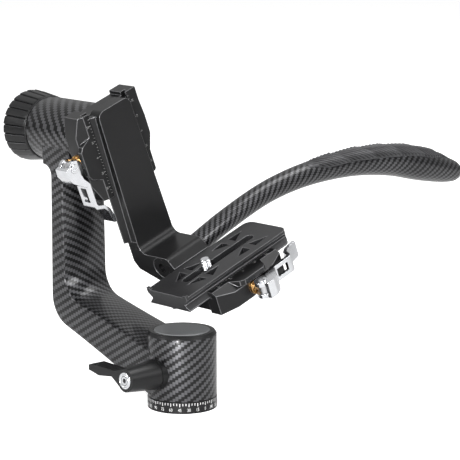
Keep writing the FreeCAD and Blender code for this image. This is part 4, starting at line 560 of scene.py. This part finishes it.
def handle_line(count):
    """The handle's middle line, radius and length along it, on a cardinal curve through its points."""
    points = np.vstack([2 * HANDLE[0] - HANDLE[1], HANDLE, 2 * HANDLE[-1] - HANDLE[-2]])
    spot = np.linspace(0, len(HANDLE) - 1 - 1e-9, count)
    i = spot.astype(int)
    t = (spot - i)[:, None]
    a, b, c, d = points[i], points[i + 1], points[i + 2], points[i + 3]
    line = 0.5 * (2 * b + (c - a) * t + (2 * a - 5 * b + 4 * c - d) * t ** 2 + (3 * b - a - 3 * c + d) * t ** 3)
    length = np.concatenate([[0], np.cumsum(np.linalg.norm(np.diff(line[:, :2], axis=0), axis=1))])
    way = np.gradient(line[:, :2], axis=0)
    way /= np.linalg.norm(way, axis=1)[:, None]
    return line, way, length


def handle_surface(radius, angle, line, way):
    """Points at each radius and angle round the middle line; angle 0 points up, a right angle to the right."""
    up = np.stack([-way[:, 1], way[:, 0]], axis=-1)
    x = -38.0 + radius * np.sin(angle)
    y = line[:, 0:1] + radius * np.cos(angle) * up[:, 0:1]
    height = line[:, 1:2] + radius * np.cos(angle) * up[:, 1:2]
    return from_cradle(np.stack([x, y, height], axis=-1))


def make_handle(material, grip_material):
    """Carbon handle swept along its line, with the carved pad sunk into the top of its end."""
    rows, columns = 260, 96
    line, way, length = handle_line(rows)
    angle = np.linspace(-math.pi, math.pi, columns, endpoint=False)[None, :].repeat(rows, axis=0)
    radius = line[:, 2:3].repeat(columns, axis=1)
    share = (line[:, 0] - PAD_START) / (PAD_END - PAD_START)
    reach = grip_reach(share)[:, None]
    inside = (np.abs(angle) < reach) & (share[:, None] > 0) & (share[:, None] < 1)
    radius = radius - PAD_DEPTH * inside
    points = handle_surface(radius, angle, line, way)
    faces = grid(rows, columns, round_columns=True).tolist()
    faces.append(list(range(columns)))
    faces.append([(rows - 1) * columns + i for i in reversed(range(columns))])
    wide = np.linspace(math.pi, -math.pi, columns + 1)[None, :].repeat(rows, axis=0) * 8.6
    long = length[:, None].repeat(columns + 1, axis=1)
    uv = np.vstack([grid_uv(wide * MM, long * MM), np.zeros((2 * columns, 2))])
    tube = put("handle_body", points, faces, "bracket", material, uv=uv, sharp=60)
    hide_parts("handle_tube")

    rows, columns = 520, 72
    line, way, length = handle_line(1400)
    keep = (line[:, 0] > PAD_START) & (line[:, 0] < PAD_END)
    pick = np.linspace(0, keep.sum() - 1, rows).astype(int)
    line, way, length = line[keep][pick], way[keep][pick], length[keep][pick]
    share = (line[:, 0] - PAD_START) / (PAD_END - PAD_START)
    reach = grip_reach(share)[:, None]
    across = np.linspace(-1, 1, columns)[None, :]
    angle = reach * across
    # Barbs: slanting ridges that run back from the middle, over broad leaves that overlap towards the tip.
    run = length[:, None] - length[0]
    away = np.abs(angle) * line[:, 2:3]
    leaf = (run - 1.0 * away) / 24.0
    leaf = leaf - np.floor(leaf)
    barb = (run - 1.5 * away) / 3.6
    barb = np.abs(barb - np.floor(barb) - 0.5) * 2
    edge = np.clip((1 - np.abs(across)) * 9, 0, 1) * np.clip(np.minimum(share, 1 - share)[:, None] * 14, 0, 1)
    relief = -0.35 + edge * (0.25 + 0.9 * leaf + 0.75 * barb)
    # Painted light on the pad: lighter on the barbs and leaves, darker in the grooves; the pad's rim stays light, its
    # walls and underside take the dark groove colour.
    painted_rib_light = np.clip(0.75 * barb + 0.35 * leaf, 0, 1) * edge + (1 - edge) * 0.9
    outer = handle_surface(line[:, 2:3] + relief, angle, line, way)
    under = handle_surface(line[:, 2:3].repeat(columns, axis=1) - 2.0, angle, line, way)
    count = rows * columns
    spot = np.arange(count).reshape(rows, columns)
    rim = np.concatenate([spot[0], spot[1:, -1], spot[-1, -2::-1], spot[-2:0:-1, 0]])
    after = np.roll(rim, -1)
    walls = np.stack([rim, rim + count, after + count, after], axis=-1)
    faces = np.vstack([grid(rows, columns), grid(rows, columns)[:, ::-1] + count, walls])
    painted_light_share = np.concatenate([painted_rib_light.ravel(), np.zeros(count)])[faces.ravel()]
    uv = np.stack([painted_light_share, np.zeros_like(painted_light_share)], axis=-1)
    pad = put("handle_pad", np.concatenate([outer.reshape(-1, 3), under.reshape(-1, 3)]), faces, "bracket",
              grip_material, uv=uv, sharp=40)
    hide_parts("handle_grip")


def grip_reach(share):
    """How far the pad reaches round the handle from its top, as an angle, with its edge gently scalloped."""
    share = np.clip(share, 0, 1)
    wave = 0.05 * np.abs(np.sin(share * math.pi * 5.0))
    return np.interp(share, [0, 0.12, 0.5, 0.85, 1], [0.75, 1.35, 1.35, 1.0, 0.45]) - wave


# Knob, lock lever, screws

def make_knob(material, cap_material, groove_highlight_material):
    """Knob: a cone whose radius dips in 24 narrow grooves and steps slightly across each flat between them."""
    def wave(along, radius, turn):
        spot = turn / (2 * math.pi) * KNOB_FLATS
        spot = spot - np.floor(spot)
        dip = np.clip(1 - np.abs(spot - 0.5) / KNOB_GROOVE, 0, 1)
        lean = np.where(spot < 0.5, spot, spot - 1.0)
        side = (radius > 0.0195) * np.clip((-0.1335 - along) / 0.0015, 0, 1)
        return radius - side * (dip * 0.0011 - lean * 0.00036)

    profile = rounded([
        (-152.3, 0.01), (-152.3, 17.1), (-154.3, 17.1), (-154.3, 22.9), (-153.4, 23.7), (-150.5, 23.5),
        (-134.2, 21.5), (-133.0, 21.0), (-133.0, 4.0), (-150.3, 4.0), (-150.3, 0.01),
    ], 0.5)
    # Long flanks get more rings, so that the grooves fade out smoothly at the neck.
    rings = []
    for a, b in zip(profile, profile[1:] + profile[:1]):
        steps = max(1, int(np.linalg.norm(np.asarray(b) - np.asarray(a)) // 2.0))
        for k in range(steps):
            rings.append(np.asarray(a) + (np.asarray(b) - np.asarray(a)) * k / steps)
    knob = turned("knob_grip", rings, (0, 0, AXIS), (1, 0, 0), "tilt_lock_knob", material,
                  steps=KNOB_FLATS * KNOB_FACES, sharp=25, wave=wave)
    # One row of faces beside each groove takes the lighter edge finish: a painted highlight along the groove.
    knob.data.materials.append(groove_highlight_material)
    across = np.cross([1.0, 0.0, 0.0], [0.31, 0.22, 0.93])
    across /= np.linalg.norm(across)
    other = np.cross([1.0, 0.0, 0.0], across)
    for face in knob.data.polygons:
        centre = np.array(face.center) - np.array([0.0, 0.0, AXIS])
        spot = math.atan2(centre @ other, centre @ across) / (2 * math.pi) % 1.0 * KNOB_FLATS % 1.0
        if (abs(spot - 0.5 - KNOB_GROOVE) < 0.5 / KNOB_FACES and -0.1536 < centre[0] < -0.1345
                and math.hypot(centre[1], centre[2]) > 0.0195):
            face.material_index = 1
    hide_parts("tilt_knob")
    cap = turned("knob_disc", rounded([(-154.3, 0.01), (-154.3, 16.6), (-153.9, 17.0), (-152.3, 17.0),
                                       (-152.3, 0.01)], 0.2),
                 (0, 0, AXIS), (1, 0, 0), "tilt_lock_knob", cap_material)
    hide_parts("knob_cap")


def make_lock_screw(material, dark):
    """Silver screw in the lock lever: turned disc with a raised rim, a shallow ring groove and a socket, which a flat
    black disc covers as painted shade; a thin black ring lies on its face.
    """
    screw = turned("lock_screw_disc", rounded([
        (-44.0, 0.01), (-44.0, 2.0), (-46.0, 2.0), (-46.0, 5.3), (-47.4, 5.3), (-47.6, 5.0), (-47.6, 4.2),
        (-47.45, 4.1), (-47.45, 3.9), (-47.6, 3.8), (-47.6, 1.5), (-46.5, 1.3), (-46.5, 0.01),
    ], 0.1, 2), (0, 0, LOCK_HEIGHT * MM), (0, 1, 0), "pan_lock", material, steps=72)
    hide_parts("pan_lock_screw")
    # A flat black disc stands in for the socket's recess: painted shade.
    turned("lock_screw_socket_shade", rounded([(-47.62, 0.01), (-47.62, 1.25), (-46.9, 1.25), (-46.9, 0.01)], 0.1, 2),
           (0, 0, LOCK_HEIGHT * MM), (0, 1, 0), "pan_lock", dark, steps=48)
    turned("lock_screw_line", rounded([(-47.62, 2.7), (-47.62, 3.1), (-47.3, 3.1), (-47.3, 2.7)], 0.05, 2),
           (0, 0, LOCK_HEIGHT * MM), (0, 1, 0), "pan_lock", dark, steps=72)


def make_camera_screw(material):
    """Camera screw: head under the plate, and a thread whose radius follows a helix above it.

    radius = mean + depth * triangle(along / pitch - angle / full turn).
    """
    steps, pitch = 48, 1.27
    angle = np.linspace(0, 2 * math.pi, steps, endpoint=False)
    along = np.concatenate([np.linspace(-3.0, 5.0, 120), [5.5, 5.5]])
    base = np.concatenate([np.full(120, 2.95), [2.6, 0.01]])
    phase = along[:, None] / pitch - angle[None, :] / (2 * math.pi)
    ridge = np.abs(phase - np.floor(phase) - 0.5) * 2
    depth = np.concatenate([np.full(116, 0.62), np.linspace(0.6, 0.05, 4), [0.0, 0.0]])[:, None]
    radius = base[:, None] - depth * 0.5 + depth * ridge
    head = np.array([(-8.8, 0.01), (-8.8, 4.4), (-8.5, 4.8), (-5.4, 4.85), (-5.0, 4.5), (-5.0, 2.6), (-3.0, 2.6)])
    along = np.concatenate([head[:, 0], along])
    radius = np.vstack([head[:, 1:2].repeat(steps, axis=1), radius])
    local = CAMERA_SCREW + np.stack([radius * np.cos(angle), radius * np.sin(angle),
                                     along[:, None].repeat(steps, axis=1)], axis=-1)
    faces = grid(len(along), steps, round_columns=True)
    screw = put("camera_screw_thread", from_cradle(local), faces, "camera_screw_body", material,
                sharp=30)
    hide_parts("camera_screw")


def lettered(text, size):
    """The outline of a short number as filled triangles, centred: points in millimetres and faces."""
    curve = bpy.data.curves.new("number", "FONT")
    curve.body = text
    curve.size = size
    curve.align_x = "CENTER"
    curve.align_y = "CENTER"
    curve.resolution_u = 3
    carrier = bpy.data.objects.new("number", curve)
    bpy.context.scene.collection.objects.link(carrier)
    mesh = bpy.data.meshes.new_from_object(carrier.evaluated_get(bpy.context.evaluated_depsgraph_get()))
    points = np.empty(len(mesh.vertices) * 3)
    mesh.vertices.foreach_get("co", points)
    faces = [list(face.vertices) for face in mesh.polygons]
    bpy.data.objects.remove(carrier)
    bpy.data.curves.remove(curve)
    bpy.data.meshes.remove(mesh)
    return points.reshape(-1, 3)[:, :2], faces


def bar(u, v, wide, tall):
    """A flat rectangle's corners, divided once across so that it can bend."""
    return (np.array([(u - wide / 2, v), (u, v), (u + wide / 2, v), (u + wide / 2, v + tall), (u, v + tall),
                      (u - wide / 2, v + tall)]), [[0, 1, 4, 5], [1, 2, 3, 4]])


def inlay(name, marks, place, body, material):
    """White filling: a thin closed skin made from flat marks, each mapped by place(u, v, height)."""
    points, faces, start = [], [], 0
    for flat, shapes in marks:
        count = len(flat)
        for height in (0.03, -0.1):
            points.append(place(flat[:, 0], flat[:, 1], np.full(count, height)))
        edges = set()
        for shape in shapes:
            faces.append([start + i for i in shape])
            faces.append([start + count + i for i in reversed(shape)])
            edges.update(zip(shape, list(shape[1:]) + [shape[0]]))
        for a, b in sorted(edges):
            if (b, a) not in edges:
                faces.append([start + b, start + a, start + count + a, start + count + b])
        start += 2 * count
    return put(name, np.concatenate(points), faces, body, material, sharp=30)


def make_ring_scale(material):
    """Ticks every 5 degrees from the ring's top edge and a plain number every 15 degrees under the long ones."""
    def place(u, v, height):
        angle = u / RING_RADIUS
        radius = (RING_RADIUS + height) * MM
        return np.stack([radius * np.cos(angle), radius * np.sin(angle), v * MM], axis=-1)

    marks = []
    for step in range(72):
        tall = 2.2 if step % 3 == 0 else 1.5
        marks.append(bar(math.radians(step * 5) * RING_RADIUS, 6.75 - tall, 0.42, tall))
    for step in range(24):
        flat, shapes = lettered(str((24 - step) * 15 % 360), 2.9)
        flat = flat * np.array([0.82, 1.0]) + np.array([math.radians(step * 15) * RING_RADIUS, 2.35])
        marks.append((flat, shapes))
    inlay("ring_scale", marks, place, "base", material)


def make_jaw_scales(material):
    """Short ticks along both jaws of a clamp, and a plain number beside every fifth."""
    clamps = (("upper", from_upper, "tilt_cradle", "upper_jaw_body"),
              ("lower", from_lower, "bracket", "lower_jaw_body"))
    for prefix, to_world, fixed, moving in clamps:
        for side, word, body in ((-1, "fixed", fixed), (1, "moving", moving)):
            def place(u, v, height, to_world=to_world):
                return to_world(np.stack([v, u, height - 6.3], axis=-1))

            marks = []
            for step in range(-12, 13):
                along = step * 2.18
                tall = 1.5 if step % 5 == 0 else 0.8
                marks.append(bar(along, side * 17.2 - tall / 2 * (1 - side), 0.28, tall))
                if step % 5 == 0:
                    flat, shapes = lettered(str(abs(step) * 2), 1.9)
                    marks.append((np.stack([along + side * flat[:, 0], side * (19.9 - flat[:, 1])], axis=-1), shapes))
            inlay("%s_scale_%s" % (prefix, word), marks, place, body, material)


# Settings, one operator for each piece or group, the panel

# CAD pieces that stay as they are, by finish.
KEPT = {
    "aluminium": ["pan_spindle", "housing_liner", "tilt_liner", "tilt_shaft"],
    "steel": ["thread_insert", "base_screws", "spindle_nut", "pan_bearing_lower", "pan_bearing_upper",
              "tilt_bearing_outer", "tilt_bearing_inner", "pan_lock_stud", "knob_stud", "upper_clamp_screws",
              "upper_guide_pins", "upper_rod_nut", "bracket_stop_screw", "lower_clamp_screws",
              "lower_guide_pins", "lower_rod_nut", "plate_stop_screws", "screw_washer"],
    "brass": ["pan_brake_shoe"],
    "black": ["tube_end_plate", "handle_bolt"],
    "friction": ["tilt_brake_pad"],
}


class FinishSettings(bpy.types.PropertyGroup):
    """Colours of the head's finishes."""

    def tone(label, words, value):
        return bpy.props.FloatVectorProperty(name=label, description=words, subtype="COLOR", size=3, min=0.0,
                                             max=1.0, default=value)

    # The light tow colour is a painted sheen.
    tow_painted_sheen: tone("Tow, painted sheen", "Carbon tows that run up the piece, painted lighter as sheen", (0.066, 0.066, 0.07))
    tow_dark: tone("Tow, dark", "Carbon tows that run across the piece", (0.0035, 0.0035, 0.0038))
    # Grip colours: the crest colour is a painted highlight, the groove colour a painted shade.
    grip: tone("Grip", "Crests of the carved grip pad, with painted highlight", (0.06, 0.06, 0.063))
    grip_painted_shade: tone("Grip, painted shade", "Painted shade in the grooves of the carved grip pad", (0.004, 0.004, 0.0042))
    black: tone("Black", "Anodised clamps, bracket and knob", (0.007, 0.007, 0.0074))
    # Edge colour: a painted highlight on the bevels of the black metal.
    edge: tone("Painted edge highlight", "Painted highlight on the bevelled edges of the black metal", (0.1, 0.1, 0.104))
    plate: tone("Lens plate", "Lens plate", (0.016, 0.016, 0.017))
    cap: tone("Cap", "Cap on the housing", (0.17, 0.175, 0.18))
    chrome: tone("Chrome", "Levers and bright screws", (0.66, 0.67, 0.69))
    steel: tone("Steel", "Screws and pins", (0.5, 0.5, 0.51))
    brass: tone("Brass", "Cam washers", (0.72, 0.42, 0.16))
    aluminium: tone("Aluminium", "Sleeves and shafts", (0.62, 0.63, 0.65))


class ShapeSettings(bpy.types.PropertyGroup):
    """Sizes of the finishing detail."""

    edge_width: bpy.props.FloatProperty(name="Edge width", description="Bevel on the clamps' edges, millimetres",
                                        default=0.28, min=0.05, max=1.0)
    lever_edge: bpy.props.FloatProperty(name="Lever edge", description="Rounding of the levers, millimetres",
                                        default=0.6, min=0.1, max=1.0)


class Piece:
    """What every operator for a piece or a group shares: it hands its finishes and sizes to make."""

    def execute(self, context):
        self.make(finishes(), context.scene.gimbal_shape)
        return {"FINISHED"}


class GIMBAL_OT_arm(Piece, bpy.types.Operator):
    """Carbon arm: limb, diagonal, tube and housing."""
    bl_idname = "gimbal.arm"
    bl_label = "Carbon arm"

    def make(self, f, s):
        make_arm(f["arm"])


class GIMBAL_OT_handle(Piece, bpy.types.Operator):
    """Carbon handle and its carved pad."""
    bl_idname = "gimbal.handle"
    bl_label = "Handle"

    def make(self, f, s):
        make_handle(f["handle"], f["grip"])


class GIMBAL_OT_knob(Piece, bpy.types.Operator):
    """Tilt knob and its disc."""
    bl_idname = "gimbal.knob"
    bl_label = "Tilt knob"

    def make(self, f, s):
        make_knob(f["black"], f["black_soft"], f["edge"])


class GIMBAL_OT_base(Piece, bpy.types.Operator):
    """Scale ring with its numbers, trim ring and cap."""
    bl_idname = "gimbal.base"
    bl_label = "Base and cap"

    def make(self, f, s):
        dressed("base_ring", f["black"], 0.3)
        dressed("trim_ring", f["black"], 0.25)
        dressed("top_cap", f["cap"], 0.2)
        make_ring_scale(f["ink"])


class GIMBAL_OT_lock(Piece, bpy.types.Operator):
    """Pan lock lever, its collar and its silver screw."""
    bl_idname = "gimbal.lock"
    bl_label = "Pan lock"

    def make(self, f, s):
        dressed("pan_lock_lever", f["black"], 0.9, segments=4)
        dressed("pan_lock_boss", f["black"], 0.3)
        make_lock_screw(f["bright"], f["black"])


class GIMBAL_OT_clamps(Piece, bpy.types.Operator):
    """Both clamps: bodies, jaws, levers, pins and washers, with the scales on the jaws."""
    bl_idname = "gimbal.clamps"
    bl_label = "Clamps"

    def make(self, f, s):
        for prefix in ("upper", "lower"):
            # The edge finish paints a highlight on the bevels.
            dressed(prefix + "_clamp_body", f["black"], s.edge_width, f["edge"])
            dressed(prefix + "_jaw", f["black"], s.edge_width, f["edge"])
            dressed(prefix + "_lever", f["chrome"], s.lever_edge, segments=3)
            dressed(prefix + "_lever_pin", f["bright"], 0.15)
            dressed(prefix + "_cam_washer", f["brass"], 0.25)
            dressed(prefix + "_tension_rod", f["steel"], 0.2)
        make_jaw_scales(f["faint"])


class GIMBAL_OT_bracket(Piece, bpy.types.Operator):
    """L bracket."""
    bl_idname = "gimbal.bracket"
    bl_label = "Bracket"

    def make(self, f, s):
        # The edge finish paints a highlight on the bevels.
        dressed("l_bracket", f["black"], 0.3, f["edge"])


class GIMBAL_OT_plate(Piece, bpy.types.Operator):
    """Lens plate and camera screw."""
    bl_idname = "gimbal.plate"
    bl_label = "Lens plate"

    def make(self, f, s):
        # The edge finish paints a highlight on the bevels.
        dressed("lens_plate", f["plate"], 0.25, f["edge"])
        make_camera_screw(f["bright"])


class GIMBAL_OT_kept(Piece, bpy.types.Operator):
    """Finishes of the CAD pieces that stay as they are."""
    bl_idname = "gimbal.kept"
    bl_label = "Kept pieces"

    def make(self, f, s):
        for name, nodes in KEPT.items():
            for node in nodes:
                slots = frame["nodes"][node].material_slots
                if not slots:
                    frame["nodes"][node].data.materials.append(f[name])
                for slot in slots:
                    slot.material = f[name]


class GIMBAL_OT_stage(bpy.types.Operator):
    """Pale floor, soft light and the camera."""
    bl_idname = "gimbal.stage"
    bl_label = "Stage"

    def execute(self, context):
        scene = context.scene
        floor = bpy.data.meshes.new("floor")
        floor.from_pydata([(-6, -6, 0), (6, -6, 0), (6, 6, 0), (-6, 6, 0)], [], [(0, 1, 2, 3)])
        material, t, shader = start_material("Pale floor")
        seen = t.add("ShaderNodeLightPath").outputs["Is Camera Ray"]
        t.fill(shader, {"Base Color": (0.8, 0.8, 0.8, 1.0), "Roughness": 0.9, "Specular IOR Level": 0.1,
                        "Emission Color": (1.0, 1.0, 1.0, 1.0),
                        "Emission Strength": t.math("MULTIPLY", seen, 0.64)})
        floor.materials.append(material)
        ground = bpy.data.objects.new("floor", floor)
        scene.collection.objects.link(ground)

        world = bpy.data.worlds.new("studio")
        world.use_nodes = True
        w = Tree(world.node_tree)
        w.tree.nodes.clear()
        path = w.add("ShaderNodeLightPath")
        way = w.add("ShaderNodeTexCoord").outputs["Generated"]
        height = w.add("ShaderNodeSeparateXYZ", {"Vector": way}).outputs[2]
        soft = w.spread(height, -0.1, 0.75, 0.14, 0.85)
        # Metal shows a dark patch round the camera, as in a studio, so that its faces read dark against bright.
        facing = w.add("ShaderNodeVectorMath", {0: way, 1: (0.728, -0.661, 0.18)}, operation="DOT_PRODUCT")
        soft = w.math("MULTIPLY", soft, w.spread(facing.outputs["Value"], 0.55, 0.85, 1.0, 0.15))
        shown = w.math("MAXIMUM", path.outputs["Is Camera Ray"], path.outputs["Is Transmission Ray"])
        glossy = w.math("MULTIPLY", path.outputs["Is Glossy Ray"], soft)
        rest = w.math("SUBTRACT", 1.0, w.math("MAXIMUM", shown, path.outputs["Is Glossy Ray"]))
        level = w.math("ADD", w.math("ADD", shown, glossy), w.math("MULTIPLY", rest, 0.34))
        sky = w.add("ShaderNodeBackground", {"Color": (1, 1, 1, 1), "Strength": level})
        w.add("ShaderNodeOutputWorld", {0: sky.outputs[0]})
        scene.world = world

        target = Vector((0.0204, 0.0225, 0.1134))
        for name, offset, size, tall, power in (
            ("key", (0.92, -1.32, 0.12), 0.24, 1.3, 80.0),
            ("left", (-0.7, -1.6, 0.8), 0.5, 0.5, 16.0),
            ("side", (1.7, 0.3, 0.9), 0.8, 0.8, 22.0),
            ("top", (0.2, 0.9, 1.9), 1.0, 1.0, 18.0),
        ):
            data = bpy.data.lights.new(name, "AREA")
            data.shape = "RECTANGLE"
            data.size = size
            data.size_y = tall
            data.energy = power
            lamp = bpy.data.objects.new(name, data)
            lamp.location = target + Vector(offset)
            lamp.rotation_mode = "QUATERNION"
            lamp.rotation_quaternion = (-Vector(offset)).to_track_quat("-Z", "Y")
            scene.collection.objects.link(lamp)

        azimuth, elevation, distance = math.radians(47.78), math.radians(10.41), 1.3999
        back = Vector((math.sin(azimuth) * math.cos(elevation), -math.cos(azimuth) * math.cos(elevation),
                       math.sin(elevation)))
        data = bpy.data.cameras.new("camera")
        data.sensor_width = 36.0
        data.lens = 36.0 * FOCAL_PIXELS / PHOTO_PIXELS
        data.clip_start = 0.05
        data.clip_end = 20.0
        camera = bpy.data.objects.new("camera", data)
        camera.location = target + back * distance
        camera.rotation_mode = "QUATERNION"
        camera.rotation_quaternion = (-back).to_track_quat("-Z", "Y")
        scene.collection.objects.link(camera)
        scene.camera = camera
        scene.view_settings.view_transform = "Standard"
        return {"FINISHED"}


class GIMBAL_PT_panel(bpy.types.Panel):
    """The head's pieces and settings."""
    bl_idname = "GIMBAL_PT_panel"
    bl_label = "Gimbal Head"
    bl_space_type = "VIEW_3D"
    bl_region_type = "UI"
    bl_category = "Gimbal Head"

    def draw(self, context):
        for operator in OPERATORS:
            self.layout.operator(operator.bl_idname)
        for owner in (context.scene.gimbal_finish, context.scene.gimbal_shape):
            for key in owner.bl_rna.properties.keys():
                if key not in ("rna_type", "name"):
                    self.layout.prop(owner, key)


OPERATORS = (
    GIMBAL_OT_arm, GIMBAL_OT_handle, GIMBAL_OT_knob, GIMBAL_OT_base, GIMBAL_OT_lock, GIMBAL_OT_clamps,
    GIMBAL_OT_bracket, GIMBAL_OT_plate, GIMBAL_OT_kept, GIMBAL_OT_stage,
)
CLASSES = (FinishSettings, ShapeSettings) + OPERATORS + (GIMBAL_PT_panel,)


def register():
    for item in CLASSES:
        bpy.utils.register_class(item)
    bpy.types.Scene.gimbal_finish = bpy.props.PointerProperty(type=FinishSettings)
    bpy.types.Scene.gimbal_shape = bpy.props.PointerProperty(type=ShapeSettings)


def unregister():
    del bpy.types.Scene.gimbal_shape
    del bpy.types.Scene.gimbal_finish
    for item in reversed(CLASSES):
        bpy.utils.unregister_class(item)


def main():
    """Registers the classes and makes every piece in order."""
    register()
    for operator in OPERATORS:
        getattr(bpy.ops.gimbal, operator.bl_idname.split(".")[1])()


if __name__ == "__main__":
    main()
